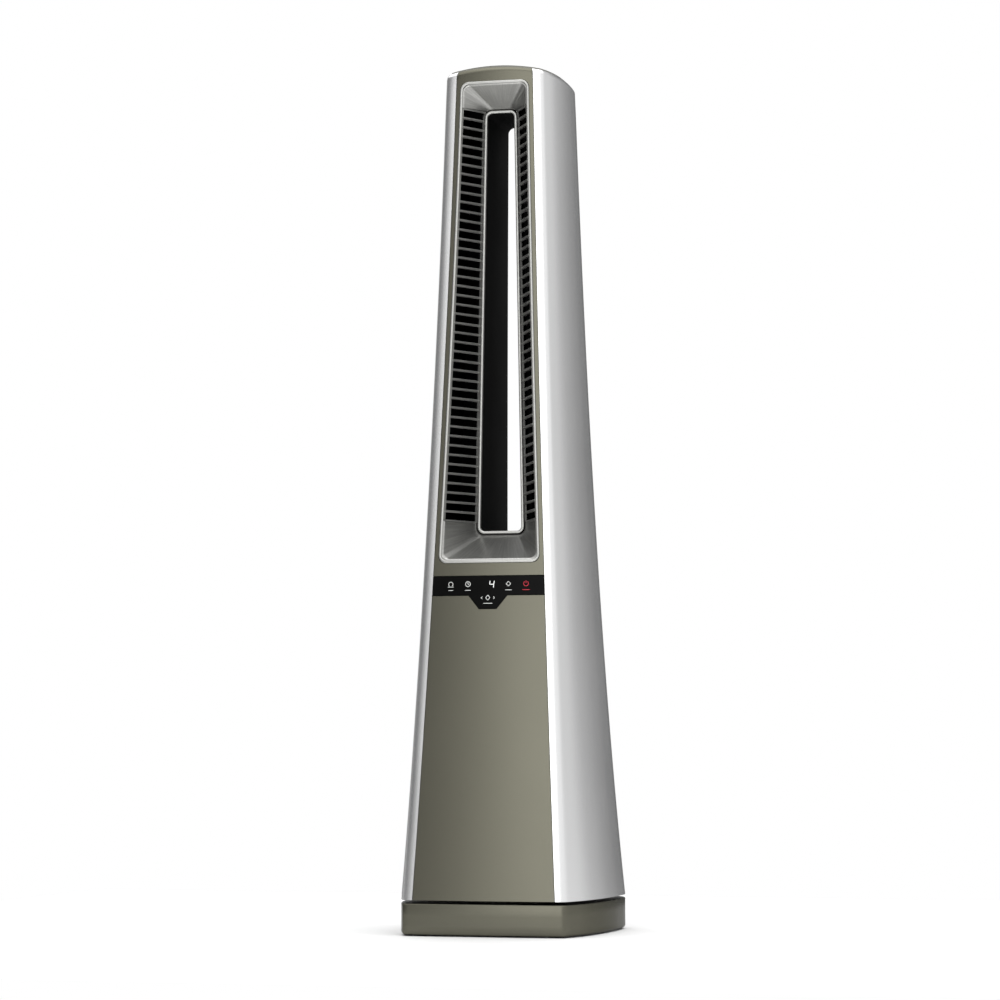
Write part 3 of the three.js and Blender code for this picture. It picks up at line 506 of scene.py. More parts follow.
def on_front(x_foot, z):
    """A skin point on the front face."""
    y_foot = FRONT_Y + (CORNER[1] - FRONT_Y) * (x_foot / CORNER[0]) ** 2
    return on_body(x_foot, y_foot, z)


def frame_loop(loop, half, z0, z1):
    """A rectangle's outline with as many points as the loop, corner matched to corner."""
    count = len(loop)
    foot_i, head_i = LOOP_CORNERS
    marks = [0, foot_i, head_i, count // 2, count - head_i, count - foot_i, count]
    spots = np.array([[0, z0], [half, z0], [half, z1], [0, z1], [-half, z1], [-half, z0],
                      [0, z0]])
    return np.stack([np.interp(np.arange(count), marks, spots[:, i]) for i in (0, 1)], 1)


window = window_loop(lambda z: outer_half(z) + SEAM, OUTER_BOTTOM - SEAM, OUTER_TOP + SEAM,
                     OUTER_ROUND)
foot_x, foot_z = to_foot(window[:, 0], window[:, 1])
inner_loop = np.stack([foot_x, foot_z], 1)
panel_loop = frame_loop(inner_loop, PANEL_HALF - SEAM, STRIP_TOP + SEAM, SKIN_TOP)
steps = np.linspace(0, 1, 14)[:, None, None] ** 0.8
around_window = inner_loop[None] * (1 - steps) + panel_loop[None] * steps
upper_points = on_front(around_window[..., 0], around_window[..., 1])
upper_faces = grid_faces(*around_window.shape[:2], wrap_columns=True, flip=True)


def strip_foot(x):
    """The lower edge of the control strip: level, with a tab that narrows downwards."""
    return np.interp(np.abs(x), [TAB_FOOT_HALF, TAB_TOP_HALF], [TAB_BOTTOM, STRIP_BOTTOM])


# Below the strip the columns are even at the foot and gather at the tab's corners above.
half_x = np.r_[np.linspace(0, TAB_FOOT_HALF, 8),
               np.linspace(TAB_FOOT_HALF, TAB_TOP_HALF, 10)[1:],
               np.linspace(TAB_TOP_HALF, COLUMNS_HALF, 18)[1:]]
column_x = np.r_[-half_x[:0:-1], half_x]
lower_top = strip_foot(column_x) - SEAM
lower_z = np.linspace(0, 1, 60)[:, None] * (lower_top - BODY_FOOT)[None, :] + BODY_FOOT
edge_half = PANEL_HALF - SEAM
blend = np.clip((lower_z - BLEND_FROM) / BLEND_RISE, 0, 1)
straight_foot = column_x[None, :] / COLUMNS_HALF * edge_half
tab_foot = np.clip(column_x[None, :] / taper(lower_z), -edge_half, edge_half)
tab_foot[:, 0], tab_foot[:, -1] = -edge_half, edge_half
lower_foot = straight_foot * (1 - blend) + tab_foot * blend
lower_points = on_front(lower_foot, lower_z)
lower_faces = grid_faces(*lower_z.shape)
front_piece = make_mesh(
    "front_panel_skin",
    np.vstack([upper_points.reshape(-1, 3), lower_points.reshape(-1, 3)]),
    np.vstack([upper_faces, lower_faces + upper_points.size // 3]), olive_paint)
thicken(front_piece, WALL, bevel=0.3, inner=black_plastic)
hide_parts("front_panel")
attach(front_piece, "body")

# ---------------- rear cover and screws
# A matt charcoal-olive moulding with a fine tool grain. The air loop opens through it, the
# intake grille clips into it low down, and four steel screws hold it to the chassis.
rear_plastic = moulded("charcoal olive plastic", (0.085, 0.083, 0.070), 0.48, 0.15,
                       grain=0.3, spread=0.06)
INNER_BOTTOM, INNER_TOP, INNER_ROUND = 429.5, 899.5, 8.0
INNER_HALF, INNER_LEVEL, INNER_FLARE, INNER_PLANE = 22.0, 800.0, 0.0176, -42.0
INNER_HOLE, ROUND_SHARE = 2.0, 0.4
GRILLE_LOW, GRILLE_HIGH, GRILLE_HALF = 66.0, 200.0, 74.0
COVER_SEAM = 418.0


def inner_half(z):
    """Half width of the inner ring, a little more towards its foot."""
    return INNER_HALF + INNER_FLARE * (INNER_LEVEL - z)


def inner_outline(inset):
    """The inner ring's loop, moved in by inset."""
    return window_loop(lambda z: inner_half(z) - inset, INNER_BOTTOM + inset, INNER_TOP - inset,
                       INNER_ROUND - inset * ROUND_SHARE)


rear_shares = np.linspace(0.3, 0.7, 2001)
rear_x, rear_y = plan_at(rear_shares)


def on_rear(x_foot, z):
    """A skin point on the rear face, from its sideways place in the foot plan."""
    order = np.argsort(rear_x)
    return on_body(x_foot, np.interp(x_foot, rear_x[order], rear_y[order]), z)


first_half = slice(0, len(rear_x) // 2)
cover_half = abs(float(np.interp(SPLIT_REAR_Y + SEAM, rear_y[first_half], rear_x[first_half])))
hole = inner_outline(INNER_HOLE)
hole_foot = np.stack([hole[:, 0] / taper(hole[:, 1]), hole[:, 1]], 1)
grille_gap = window_loop(lambda z: GRILLE_HALF + SEAM + 0 * z, GRILLE_LOW - SEAM,
                         GRILLE_HIGH + SEAM, 6.0)
for title, loop, low, high, rows in (
        ("upper", hole_foot, COVER_SEAM + SEAM / 2, SKIN_TOP, 30),
        ("lower", grille_gap, BODY_FOOT, COVER_SEAM - SEAM / 2, 20)):
    outline = frame_loop(loop, cover_half, low, high)
    steps = np.linspace(0, 1, rows)[:, None, None]
    patch = loop[None] * (1 - steps) + outline[None] * steps
    cover = make_mesh(f"rear_{title}_cover_skin", on_rear(patch[..., 0], patch[..., 1]),
                      grid_faces(*patch.shape[:2], wrap_columns=True), rear_plastic)
    thicken(cover, WALL, inner=black_plastic)
    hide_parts(f"rear_{title}_cover")
    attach(cover, "body")

SCREW_SIDES = 48
screw_angle = np.linspace(0, 2 * math.pi, SCREW_SIDES, endpoint=False)
radii = np.array([0.05, 0.4, 0.8, 1.2, 1.6, 2.1, 2.6, 2.9, 3.0, 3.0, 0.05])[:, None]
dome = np.array([0, -0.02, -0.05, -0.1, -0.2, -0.35, -0.6, -0.85, -1.1, -5.5, -5.5])[:, None]
cross = np.minimum(np.abs(np.cos(screw_angle)), np.abs(np.sin(screw_angle)))[None] * radii
recess = 1.0 * ((cross < 0.38) & (radii < 1.9) & (dome > -5))
for spot in ("lower_left", "lower_right", "upper_left", "upper_right"):
    low, high = (np.array(c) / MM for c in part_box(f"rear_screw_{spot}"))
    cx, cz, face = (low[0] + high[0]) / 2, (low[2] + high[2]) / 2, high[1]
    ring = np.stack([cx + radii * np.cos(screw_angle), face + dome - recess,
                     cz + radii * np.sin(screw_angle)], -1)
    screw = make_mesh(f"rear_screw_head_{spot}", ring, tube_faces(*ring.shape[:2]),
                      plated_steel)
    outward(screw)
    crease(screw, 35)
    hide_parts(f"rear_screw_{spot}")
    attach(screw, "body")

# ---------------- intake grille
# A clip-in frame of level bars behind which the blower draws its air. Each bar is a rounded
# strip that follows the curve of the rear cover.
GRILLE_SLOTS, BAR_PLACES, RIB_ROWS = 14, 25, 12
BAR_DEPTH, BAR_HEIGHT, BAR_ROUND, BAR_SINK = 4.0, 3.0, 0.9, 2.2
BAR_END, RIM_SIDE, RIM_END, RIB_HALF = 9.0, 11.0, 4.8, 2.6
pitch = (GRILLE_HIGH - GRILLE_LOW) / (GRILLE_SLOTS + 0.4)


def swept_bars(start, along, profile):
    """Closed bars: for every bar, the profile's (along-normal, up) offsets carried from place
    to place. start is [bars, places, 3], along the outward unit at each place."""
    bars, places = start.shape[:2]
    count = len(profile)
    up = np.array([0.0, 0.0, 1.0])
    ring = (start[:, :, None, :] + along[:, :, None, :] * profile[None, None, :, :1]
            + up * profile[None, None, :, 1:])
    size = places * count
    faces = [f for b in range(bars) for f in tube_faces(places, count, b * size)]
    return ring.reshape(-1, 3), faces


def rounded_section(depth, height, corner, steps=3):
    """A closed rounded rectangle as (depth, height) offsets about its centre."""
    a = np.linspace(0, math.pi / 2, steps)
    quarter = np.stack([np.cos(a), np.sin(a)], 1) * corner
    centre = np.array([depth / 2 - corner, height / 2 - corner])
    corners = [(1, 1, 0), (-1, 1, 1), (-1, -1, 0), (1, -1, 1)]
    parts = [(quarter[::-1] if turn else quarter) * [sx, sy] + centre * [sx, sy]
             for sx, sy, turn in corners]
    return np.vstack(parts)


bar_z = GRILLE_LOW + pitch * (np.arange(GRILLE_SLOTS - 1) + 1.5) - BAR_HEIGHT / 2
bar_x = np.linspace(-GRILLE_HALF + BAR_END, GRILLE_HALF - BAR_END, BAR_PLACES)
bars = on_rear(*np.meshgrid(bar_x, bar_z))
behind = np.tile([0.0, 1.0, 0.0], (*bars.shape[:2], 1))
bar_points, bar_faces = swept_bars(bars - behind * BAR_SINK, behind,
                                   rounded_section(BAR_DEPTH, BAR_HEIGHT, BAR_ROUND))
gap_in = window_loop(lambda z: GRILLE_HALF - RIM_SIDE + 0 * z, GRILLE_LOW + RIM_END,
                     GRILLE_HIGH - RIM_END, 3.0)
gap_out = window_loop(lambda z: GRILLE_HALF + 0 * z, GRILLE_LOW, GRILLE_HIGH, 5.8)
steps = np.linspace(0, 1, 5)[:, None, None]
rim = gap_in[None] * (1 - steps) + gap_out[None] * steps
rim_out = on_rear(rim[..., 0], rim[..., 1])
rim_in = rim_out - [0, WALL, 0]
rim_shell = np.concatenate([rim_out, rim_in[::-1]], 0)
rib_z = np.linspace(GRILLE_LOW + 3, GRILLE_HIGH - 3, RIB_ROWS)
rib = on_rear(*np.meshgrid([-RIB_HALF, -RIB_HALF, RIB_HALF, RIB_HALF], rib_z))
rib[..., 1] += [-3.4, -0.3, -0.3, -3.4]
rim_start = len(bar_points)
rib_start = rim_start + rim_shell.size // 3
grille_piece = make_mesh(
    "intake_grille_bars", np.vstack([bar_points, rim_shell.reshape(-1, 3), rib.reshape(-1, 3)]),
    bar_faces
    + list(grid_faces(*rim_shell.shape[:2], wrap_rows=True, wrap_columns=True) + rim_start)
    + tube_faces(*rib.shape[:2], rib_start), rear_plastic)
outward(grille_piece)
crease(grille_piece, 40)
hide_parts("intake_grille")
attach(grille_piece, "body")

# ---------------- top cap
# A shallow domed lid in dark olive plastic that closes the skins and shows as a thin line
# along their upper edge.
CAP_LOW, CAP_BEND, CAP_SIDES = 942.9, 944.2, 240
cap_shares = np.r_[1.0, 1.0, 0.999, 0.99, np.linspace(0.97, 0.01, 26)][:, None]
cap_z = np.r_[CAP_LOW, CAP_BEND, 944.7, 944.95, np.full(26, HEIGHT)][:, None]
cap_x, cap_y = plan_at(np.linspace(0, 1, CAP_SIDES, endpoint=False))
edge = on_body(cap_x[None, :], cap_y[None, :], np.minimum(cap_z, CAP_BEND))
flat_x = edge[..., 0] * cap_shares
flat_y = TAPER_Y + (edge[..., 1] - TAPER_Y) * cap_shares
cap_grid = np.stack([flat_x, flat_y, cap_z - sag(flat_x, flat_y, HEIGHT)], -1)
cap_under = np.stack([flat_x[::-1], flat_y[::-1],
                      CAP_LOW - sag(flat_x[::-1], flat_y[::-1], HEIGHT)], -1)[:-1]
cap_all = np.concatenate([cap_under, cap_grid])
cap_paint = moulded("dark olive cap", (0.11, 0.108, 0.09), 0.42, 0.35, grain=0.2)
cap_piece = make_mesh("top_cap_lid", cap_all, tube_faces(*cap_all.shape[:2]), cap_paint)
outward(cap_piece)
crease(cap_piece, 50)
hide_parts("top_cap")
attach(cap_piece, "body")

# ---------------- trim rings
# Two bright plated plastic beads. The outer one frames the window, standing a little proud of
# the panel, and the inner one hides the joint between the sloping walls and the tunnel.
BEAD, BEAD_DEPTH, INNER_INSET, INNER_LIFT = 3.0, 2.6, 2.3, 1.6
OUTER_PROUD, INNER_PROUD = 0.7, 0.8
bright_trim = sprayed_paint("bright satin plating", (0.38, 0.38, 0.365), (0.46, 0.46, 0.44),
                            0.36, 0.9, coat=0.05, flake=0.3)


def bead_section(proud):
    """A closed bead section: half an ellipse standing proud, and a flat back."""
    a = np.linspace(0, math.pi, 13)
    bow = np.stack([BEAD / 2 * np.cos(a), proud * np.sin(a) ** 0.8], 1)
    return np.vstack([bow, [[-BEAD / 2, -BEAD_DEPTH], [BEAD / 2, -BEAD_DEPTH]]])


def bead_ring(name, loop, depth_at, section):
    """A bead carried round an upright loop: the section's first figure is sideways in the
    loop's own plane, and its second stands forward of depth_at(x, z)."""
    side = inward(loop)
    x = loop[:, None, 0] + side[:, None, 0] * section[None, :, 0]
    z = loop[:, None, 1] + side[:, None, 1] * section[None, :, 0]
    y = depth_at(loop[:, None, 0] + 0 * x, loop[:, None, 1] + 0 * z) - section[None, :, 1]
    points = np.stack([x, y, z], -1)
    ring = make_mesh(name, points, grid_faces(*points.shape[:2], True, True), bright_trim)
    outward(ring)
    crease(ring, 40)
    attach(ring, "body")
    return ring


outer_mid = window_loop(lambda z: outer_half(z) - BEAD / 2, OUTER_BOTTOM + BEAD / 2,
                        OUTER_TOP - BEAD / 2, OUTER_ROUND - 1)
outer_bead = bead_ring("outer_trim_bead", outer_mid, front_y, bead_section(OUTER_PROUD))
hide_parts("outer_trim_ring")
inner_mid = inner_outline(INNER_INSET + BEAD / 2)
inner_bead = bead_ring("inner_trim_bead", inner_mid,
                       lambda x, z: INNER_PLANE - INNER_LIFT + 0 * z, bead_section(INNER_PROUD))
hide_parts("inner_trim_ring")

# ---------------- hoppers
# Sloping satin grey walls above and below the slot, mitred at their corners. Their spray was
# brushed towards the slot, which leaves faint rays.
LOUVRE_SLATS, LOUVRE_PITCH, LOUVRE_TOP = 43, 10.28, 895.0
SLAT, SLAT_DEPTH, SLAT_ROUND, SLAT_SINK = 2.5, 4.2, 0.8, 1.6
LOUVRE_FRAME, FRONT_SINK, SLOPE_WALL, HOPPER_SIDES = 1.6, 0.8, 2.0, 161
louvre_low = LOUVRE_TOP - (LOUVRE_SLATS + 1) * LOUVRE_PITCH + SLAT - LOUVRE_FRAME
louvre_high = LOUVRE_TOP + LOUVRE_FRAME


def ray_paint(name, dark, light, roughness):
    """Satin paint with rays: noise stretched along the wall's own slope by its UV map."""
    material = sprayed_paint(name, dark, light, roughness, 0.85, coat=0.15, peel=0.03)
    tree = material.node_tree
    shader = tree.nodes["Principled BSDF"]
    old = shader.inputs["Base Color"].links[0].from_socket
    uv = node(tree, "UVMap")
    stretch = node(tree, "Mapping")
    stretch.inputs["Scale"].default_value = (70, 1.2, 1)
    tree.links.new(uv.outputs[0], stretch.inputs["Vector"])
    rays = node(tree, "TexNoise", Scale=1.0, Detail=5.0, Roughness=0.6)
    tree.links.new(stretch.outputs[0], rays.inputs["Vector"])
    mix = node(tree, "Mix", data_type="RGBA", blend_type="MULTIPLY")
    mix.inputs[0].default_value = 1.0
    shade = node(tree, "CombineColor")
    level = ranged(tree, rays.outputs["Fac"], 0.78, 1.12, 0.3, 0.7)
    for i in range(3):
        tree.links.new(level, shade.inputs[i])
    tree.links.new(old, mix.inputs[6])
    tree.links.new(shade.outputs[0], mix.inputs[7])
    tree.links.new(mix.outputs[2], shader.inputs["Base Color"])
    return material


satin_grey = ray_paint("satin grey rays", (0.34, 0.34, 0.33), (0.44, 0.44, 0.42), 0.3)


def add_uv(piece, u, v):
    """A UV map from one pair of figures for each point."""
    layer = piece.data.uv_layers.new(name="slope")
    corner = np.empty(len(piece.data.loops), dtype=np.int32)
    piece.data.loops.foreach_get("vertex_index", corner)
    pairs = np.stack([np.ravel(u)[corner], np.ravel(v)[corner]], 1)
    layer.data.foreach_set("uv", pairs.ravel())


def half_loops(upper):
    """Matching parts of the outer and inner loops above or below the louvres, evened out so
    that both run from the right louvre to the left one in the same number of points."""
    outer = window_loop(lambda z: outer_half(z) - BEAD - SEAM, OUTER_BOTTOM + BEAD + SEAM,
                        OUTER_TOP - BEAD - SEAM, OUTER_ROUND - 2)
    inner = inner_outline(INNER_HOLE)
    result = []
    for loop in (outer, inner):
        cut = louvre_high + SEAM if upper else louvre_low - SEAM
        turned = loop if upper else np.roll(loop, len(loop) // 2, 0)
        keep = turned[turned[:, 1] > cut] if upper else turned[turned[:, 1] < cut]
        if not upper:
            keep = keep[::-1]
        keep = np.vstack([[keep[0, 0], cut], keep, [keep[-1, 0], cut]])
        run = np.r_[0, np.cumsum(np.hypot(*np.diff(keep, axis=0).T))]
        even = np.linspace(0, run[-1], HOPPER_SIDES)
        result.append(np.stack([np.interp(even, run, keep[:, i]) for i in (0, 1)], 1))
    return result


for title, upper in (("upper", True), ("lower", False)):
    outer, inner = half_loops(upper)
    a = np.stack([outer[:, 0], front_y(outer[:, 0], outer[:, 1]) + FRONT_SINK, outer[:, 1]], 1)
    b = np.stack([inner[:, 0], np.full(len(inner), INNER_PLANE), inner[:, 1]], 1)
    t = np.linspace(0, 1, 18)[:, None, None]
    wall = a[None] * (1 - t) + b[None] * t
    hopper = make_mesh(f"{title}_hopper_walls", wall,
                       grid_faces(*wall.shape[:2], flip=not upper), satin_grey)
    add_uv(hopper, np.broadcast_to(np.linspace(0, 1, HOPPER_SIDES), wall.shape[:2]),
           np.broadcast_to(t[:, :, 0], wall.shape[:2]))
    thicken(hopper, SLOPE_WALL, bevel=0)
    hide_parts(f"{title}_hopper")
    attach(hopper, "body")

# ---------------- louvres
# The sloping side walls: a slim frame and rounded level slats, moulded together in satin grey
# plastic. The fan blows through the dark slots between the slats.
slat_grey = sprayed_paint("satin grey slats", (0.40, 0.40, 0.385), (0.50, 0.50, 0.48), 0.3, 0.8)


def wall_lines(z):
    """Front and rear ends of the right-hand sloping wall at heights z."""
    ax = outer_half(z) - BEAD - SEAM
    arc = np.clip(z - (INNER_TOP - INNER_ROUND), 0, None)
    bend = INNER_ROUND - np.sqrt(np.clip(INNER_ROUND ** 2 - arc ** 2, 0, None))
    bx = inner_half(z) - INNER_HOLE - bend
    a = np.stack([ax, front_y(ax, z) + FRONT_SINK, z], -1)
    return a, np.stack([bx, INNER_PLANE + 0 * z, z], -1)


slot_top = LOUVRE_TOP - np.arange(LOUVRE_SLATS + 1) * LOUVRE_PITCH
slat_z = slot_top[1:] + SLAT / 2
front_end, rear_end = wall_lines(slat_z)
share = np.linspace(0.015, 0.985, 5)[None, :, None]
slat_line = front_end[:, None] * (1 - share) + rear_end[:, None] * share
run = (rear_end - front_end)[:, None, :]
open_side = np.stack([-run[..., 1], run[..., 0], 0 * run[..., 0]], -1)
open_side = open_side / np.linalg.norm(open_side, axis=-1, keepdims=True)
open_side = np.broadcast_to(open_side, slat_line.shape)
slat_section = rounded_section(SLAT_DEPTH, SLAT, SLAT_ROUND)
slat_points, slat_faces = swept_bars(slat_line - open_side * SLAT_SINK, open_side, slat_section)
rail_z = np.linspace(louvre_low, louvre_high, 60)
ra, rb = wall_lines(rail_z)


def rail(from_share, to_share):
    """An upright rail of the louvre frame between two shares of the wall's width."""
    run = rb - ra
    normal = np.stack([-run[:, 1], run[:, 0], 0 * run[:, 0]], 1)
    normal /= np.linalg.norm(normal, axis=1, keepdims=True)
    corners = [(from_share, 0), (to_share, 0), (to_share, -SLOPE_WALL),
               (from_share, -SLOPE_WALL)]
    return np.stack([ra + run * s + normal * d for s, d in corners], 1)


def cross_rail(z0, z1):
    """The short level rail that closes the louvre frame at one end."""
    a, b = wall_lines(np.array([z0, z1]))
    run = b[0] - a[0]
    normal = np.array([-run[1], run[0], 0]) / np.hypot(run[0], run[1])
    s = np.linspace(0.0, 1.0, 6)[:, None]
    low, high = a[0] + (b[0] - a[0]) * s, a[1] + (b[1] - a[1]) * s
    back = SLOPE_WALL * normal
    return np.stack([low, high, high - back, low - back], 1)


frame_bars = [rail(0.0, 0.045), rail(0.955, 1.0),
              cross_rail(louvre_low, slot_top[-1] - LOUVRE_PITCH + SLAT),
              cross_rail(slot_top[0], louvre_high)]
louvre_points, faces = slat_points, slat_faces
for bar in frame_bars:
    faces += tube_faces(*bar.shape[:2], len(louvre_points))
    louvre_points = np.vstack([louvre_points, bar.reshape(-1, 3)])
for side, title in ((1, "right"), (-1, "left")):
    louvre = make_mesh(f"{title}_louvre_slats", louvre_points * [side, 1, 1], faces,
                       slat_grey)
    outward(louvre)
    crease(louvre, 50)
    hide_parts(f"{title}_louvre")
    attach(louvre, "body")

# ---------------- tunnel liner
# A black sleeve that lines the open slot from the inner ring to the rear cover and widens a
# little on its way back.
LINER_FRONT, LINER_REAR, FRONT_GAP, REAR_GAP, LINER_WALL = 5.0, 3.0, 1.8, 4.2, 0.8
liner_front, liner_loop = inner_outline(LINER_FRONT), inner_outline(LINER_REAR)
liner_back = spread_y(REAR_Y, liner_loop[:, 1])
t = np.r_[np.linspace(0, 0.97, 24), 0.985, 1.0][:, None]
liner_y = (INNER_PLANE + FRONT_GAP) * (1 - t) + (liner_back - REAR_GAP)[None] * t
liner = np.stack([liner_front[:, 0] * (1 - t) + liner_loop[:, 0] * t, liner_y,
                  liner_front[:, 1] * (1 - t) + liner_loop[:, 1] * t], -1)
tunnel = make_mesh("tunnel_sleeve", liner, grid_faces(*liner.shape[:2], wrap_columns=True),
                   duct_black)
thicken(tunnel, LINER_WALL, bevel=0.2)
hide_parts("tunnel_liner")
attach(tunnel, "body")

# ---------------- control strip
# A polished black acrylic lens, flush across the panel with a tab below its middle. Touch
# springs behind it sense a finger through symbols printed in white and, for power, in red.
gloss_black = moulded("polished black acrylic", (0.004, 0.004, 0.004), 0.1, grain=0.01,
                      shine=0.025)
LENS_WALL = 2.6
lens_rows = np.linspace(0, 1, 12)[:, None]
lens_foot = strip_foot(column_x) + SEAM
lens_z = lens_foot[None] * (1 - lens_rows) + (STRIP_TOP - SEAM) * lens_rows
lens_x = np.clip(column_x[None, :] / taper(lens_z), -edge_half, edge_half)
lens_x[:, 0], lens_x[:, -1] = -edge_half, edge_half
lens = make_mesh("control_lens_strip", on_front(lens_x, lens_z), grid_faces(*lens_z.shape),
                 gloss_black)
thicken(lens, LENS_WALL, bevel=0.25)
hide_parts("control_lens")
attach(lens, "body")


def lamp(name, colour, strength):
    """Backlit print: a diffuse tint with a soft glow that varies a little across it."""
    material = moulded(name, colour, 0.4, grain=0.02)
    tree = material.node_tree
    shader = tree.nodes["Principled BSDF"]
    tree.links.new(shader.inputs["Base Color"].links[0].from_socket,
                   shader.inputs["Emission Color"])
    shader.inputs["Emission Strength"].default_value = strength
    return material


white_print = lamp("white backlit print", (0.80, 0.82, 0.80), 0.35)
red_print = lamp("red backlit print", (0.55, 0.03, 0.05), 0.5)


PRINT_LIFT, PRINT_SINK = 0.12, 0.05


def flat_strokes(name, strokes, centre, material, width=0.42):
    """Strokes printed on the lens: each list of (x, z) points becomes a band of even width,
    a hair proud of the lens."""
    points, faces, start = [], [], 0
    for stroke in strokes:
        line = np.array(stroke, float)
        along = np.gradient(line, axis=0)
        along /= np.maximum(np.linalg.norm(along, axis=1, keepdims=True), 1e-9)
        across = np.stack([-along[:, 1], along[:, 0]], 1) * width / 2
        edges = np.stack([line - across, line + across], 1) + centre
        for lift in (PRINT_LIFT, -PRINT_SINK):
            x, z = edges[..., 0], edges[..., 1]
            points.append(np.stack([x, front_y(x, z) - lift, z], -1).reshape(-1, 3))
        count = len(line)
        top = grid_faces(count, 2)
        faces += list(top + start) + list(top[:, ::-1] + start + 2 * count)
        border = np.r_[np.arange(0, 2 * count, 2), np.arange(2 * count - 1, 0, -2)]
        ahead = np.roll(border, -1)
        faces += list(np.stack([border, ahead, ahead + 2 * count, border + 2 * count], 1)
                      + start)
        start += 4 * count
    piece = make_mesh(name, np.vstack(points), faces, material)
    outward(piece)
    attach(piece, "body")
    return piece


def arc(radius, start, end, steps=20, centre=(0, 0)):
    """Points of an arc, angles in degrees."""
    a = np.radians(np.linspace(start, end, steps))
    return np.stack([centre[0] + radius * np.cos(a), centre[1] + radius * np.sin(a)], 1)


def bar_below(half):
    """A short level dash under a symbol."""
    return [(-half, -6.6), (0, -6.6), (half, -6.6)]


KEY_Z = 374.6
petals = [arc(1.0, k * 90 - 60, k * 90 + 120, 10, (1.35 * math.cos(math.radians(k * 90)),
                                                  1.35 * math.sin(math.radians(k * 90))))
          for k in range(4)]
symbols = {
    "ion": ([arc(2.4, -50, 230), [(-3.2, -2.9), (0, -2.9), (3.2, -2.9)], bar_below(2.6)],
            (-41.5, KEY_Z), white_print),
    "timer": ([arc(2.7, 0, 360, 28), [(0, 0), (0, 1.0), (0, 2.0)],
               [(0, 0), (0.8, -0.5), (1.4, -0.9)], bar_below(3.2)],
              (-22.3, KEY_Z), white_print),
    "speed": (petals + [bar_below(3.6)], (22.5, KEY_Z), white_print),
    "power": ([arc(2.6, 125, 415, 24), [(0, 0.4), (0, 1.8), (0, 3.2)], bar_below(4.0)],
              (41.8, KEY_Z), red_print),
    "oscillate": ([[(0, 2.8), (1.2, 1.4), (2.4, 0), (1.2, -1.4), (0, -2.8), (-1.2, -1.4),
                    (-2.4, 0), (-1.2, 1.4), (0, 2.8)],
                   [(-6.2, 1.3), (-7.4, 0), (-6.2, -1.3)], [(6.2, 1.3), (7.4, 0), (6.2, -1.3)],
                   [(-5.0, -6.0), (0, -6.0), (5.0, -6.0)]], (0, 359.8), white_print),
}
for title, (strokes, centre, material) in symbols.items():
    flat_strokes(f"symbol_{title}", strokes, centre, material)

# The display behind the lens shows one slanted digit made of lit segments.
segment = [[(-1.9, 3.6), (-2.2, 1.6), (-2.4, 0.2)], [(-2.4, 0.0), (0, 0.0), (2.2, 0.0)],
           [(2.7, 3.6), (2.4, 1.6), (2.2, 0.2)], [(2.2, -0.2), (2.0, -1.8), (1.8, -3.6)]]
flat_strokes("display_digit", segment, (4.2, KEY_Z - 0.4), white_print, 0.8)

# ---------------- studio
# A pale floor under a glow that surrounds the fan, and a weak overhead panel. The glow's
# bright and dim parts give the metallic paint its upright bands of light.
FLOOR_HALF, FLOOR_ROWS = 800, 25
floor_span = np.linspace(-FLOOR_HALF, FLOOR_HALF, FLOOR_ROWS)
fx, fy = np.meshgrid(floor_span, floor_span)
pale = moulded("pale floor", (0.81, 0.81, 0.81), 0.7, grain=0.0, spread=0.003)
floor = make_mesh("studio_floor", np.stack([fx, fy, 0 * fx], -1),
                  grid_faces(FLOOR_ROWS, FLOOR_ROWS), pale)

# Brightness round the horizon, in degrees from the front towards +X: brightest ahead, even
# along that side, and dim straight behind and along the other side.
ROOM_PEAK = 3.6
ROOM = ((-90, 0.24), (-50, 0.18), (-30, 0.30), (-22, 0.52), (-15, 1.40), (-9, 3.40),
        (-4, 3.10), (3, 1.50), (14, 1.16), (30, 1.10), (85, 1.05), (125, 0.90), (140, 0.84),
        (156, 0.60), (180, 0.20), (225, 0.80), (270, 0.24))
CEILING, CEILING_FROM, CEILING_FULL = 1.7, 0.42, 0.75
world = bpy.data.worlds.new("studio air")
bpy.context.scene.world = world
world.use_nodes = True
sky = world.node_tree
room_light = sky.nodes["Background"]
room_light.inputs["Strength"].default_value = ROOM_PEAK
turn = node(sky, "TexGradient", gradient_type="RADIAL")
sky.links.new(node(sky, "TexCoord").outputs["Generated"], turn.inputs[0])
walls = node(sky, "ValToRGB")
stops = walls.color_ramp.elements
while len(stops) < len(ROOM):
    stops.new(0.5)
for stop, (angle, level) in zip(stops, ROOM):
    stop.position = (angle + 90) / 360
    stop.color = (*(level / ROOM_PEAK,) * 3, 1)
sky.links.new(turn.outputs["Fac"], walls.inputs["Fac"])
spot = node(sky, "SeparateXYZ")
sky.links.new(turn.inputs[0].links[0].from_socket, spot.inputs[0])
overhead = node(sky, "MapRange", interpolation_type="SMOOTHSTEP")
overhead.inputs["From Min"].default_value = CEILING_FROM
overhead.inputs["From Max"].default_value = CEILING_FULL
sky.links.new(spot.outputs["Z"], overhead.inputs["Value"])
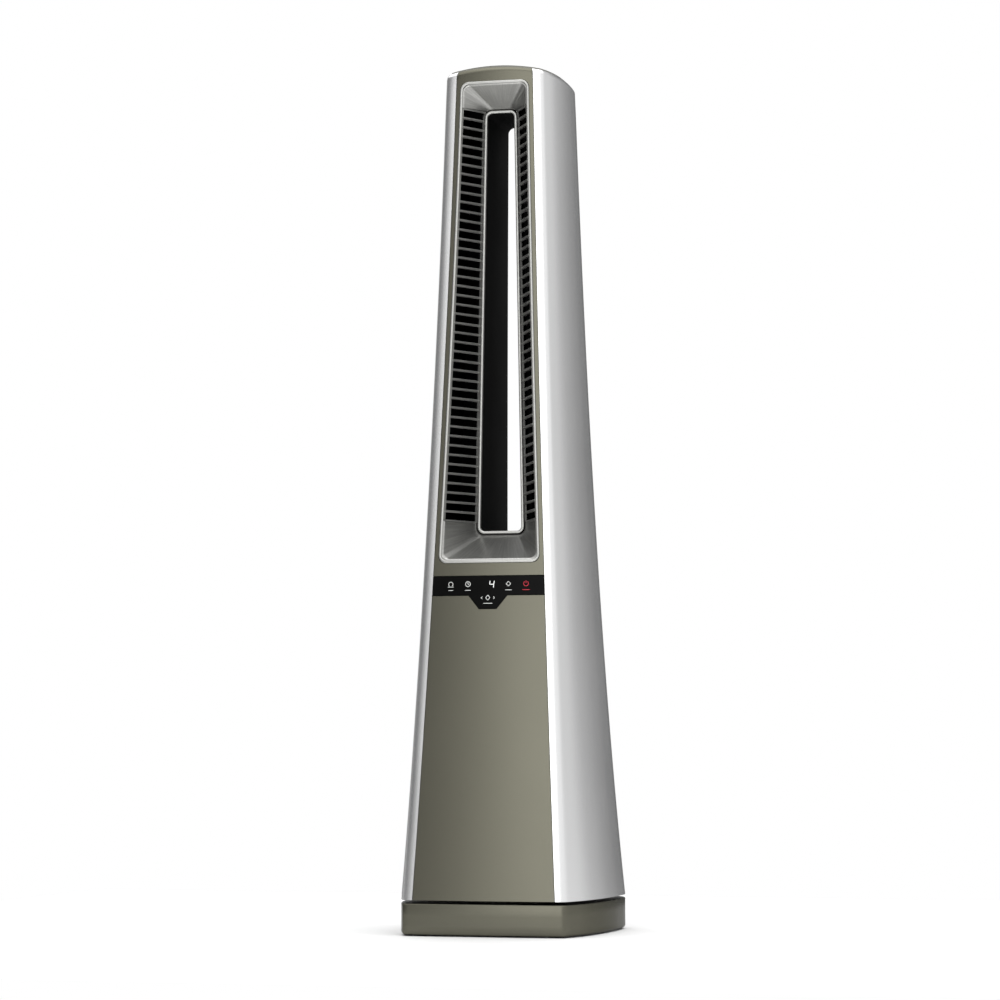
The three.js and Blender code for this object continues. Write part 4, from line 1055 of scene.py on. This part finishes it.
room = node(sky, "Mix", data_type="RGBA")
room.inputs[7].default_value = (*(CEILING / ROOM_PEAK,) * 3, 1)
sky.links.new(overhead.outputs["Result"], room.inputs[0])
sky.links.new(walls.outputs["Color"], room.inputs[6])
sky.links.new(room.outputs[2], room_light.inputs["Color"])
plain_white = node(sky, "Background", Strength=1.0)
plain_white.inputs["Color"].default_value = (1, 1, 1, 1)
which = node(sky, "MixShader")
sky.links.new(node(sky, "LightPath").outputs["Is Camera Ray"], which.inputs[0])
sky.links.new(room_light.outputs[0], which.inputs[1])
sky.links.new(plain_white.outputs[0], which.inputs[2])
sky.links.new(which.outputs[0], sky.nodes["World Output"].inputs["Surface"])

PANEL_AZIMUTH, PANEL_DISTANCE, PANEL_HEIGHT = math.radians(10), 0.6, 3.6
AIM_HEIGHT = 0.5
light = bpy.data.lights.new("top panel", "AREA")
light.shape = "RECTANGLE"
light.size, light.size_y, light.energy = 2.4, 2.4, 25
top_panel = bpy.data.objects.new("top panel", light)
bpy.context.scene.collection.objects.link(top_panel)
top_panel.location = (PANEL_DISTANCE * math.sin(PANEL_AZIMUTH),
                      -PANEL_DISTANCE * math.cos(PANEL_AZIMUTH), PANEL_HEIGHT)
direction = Vector((0, 0, AIM_HEIGHT)) - top_panel.location
top_panel.rotation_euler = direction.to_track_quat("-Z", "Y").to_euler()

# ---------------- camera
# Low and a little to the right of the front, looking slightly up.
camera_data = bpy.data.cameras.new("camera")
camera = bpy.data.objects.new("camera", camera_data)
bpy.context.scene.collection.objects.link(camera)
azimuth, yaw, pitch_up = math.radians(15.0), math.radians(14.709), math.radians(4.17)
distance, setback, eye = 3.5, 0.117, 0.2081
sensor, focal_share = 36.0, 3.290
camera.location = (distance * math.sin(azimuth), -distance * math.cos(azimuth) - setback, eye)
camera.rotation_euler = (math.pi / 2 + pitch_up, 0, yaw)
camera_data.sensor_width = sensor
camera_data.lens = sensor * focal_share
bpy.context.scene.camera = camera
bpy.context.scene.view_settings.view_transform = "Standard"
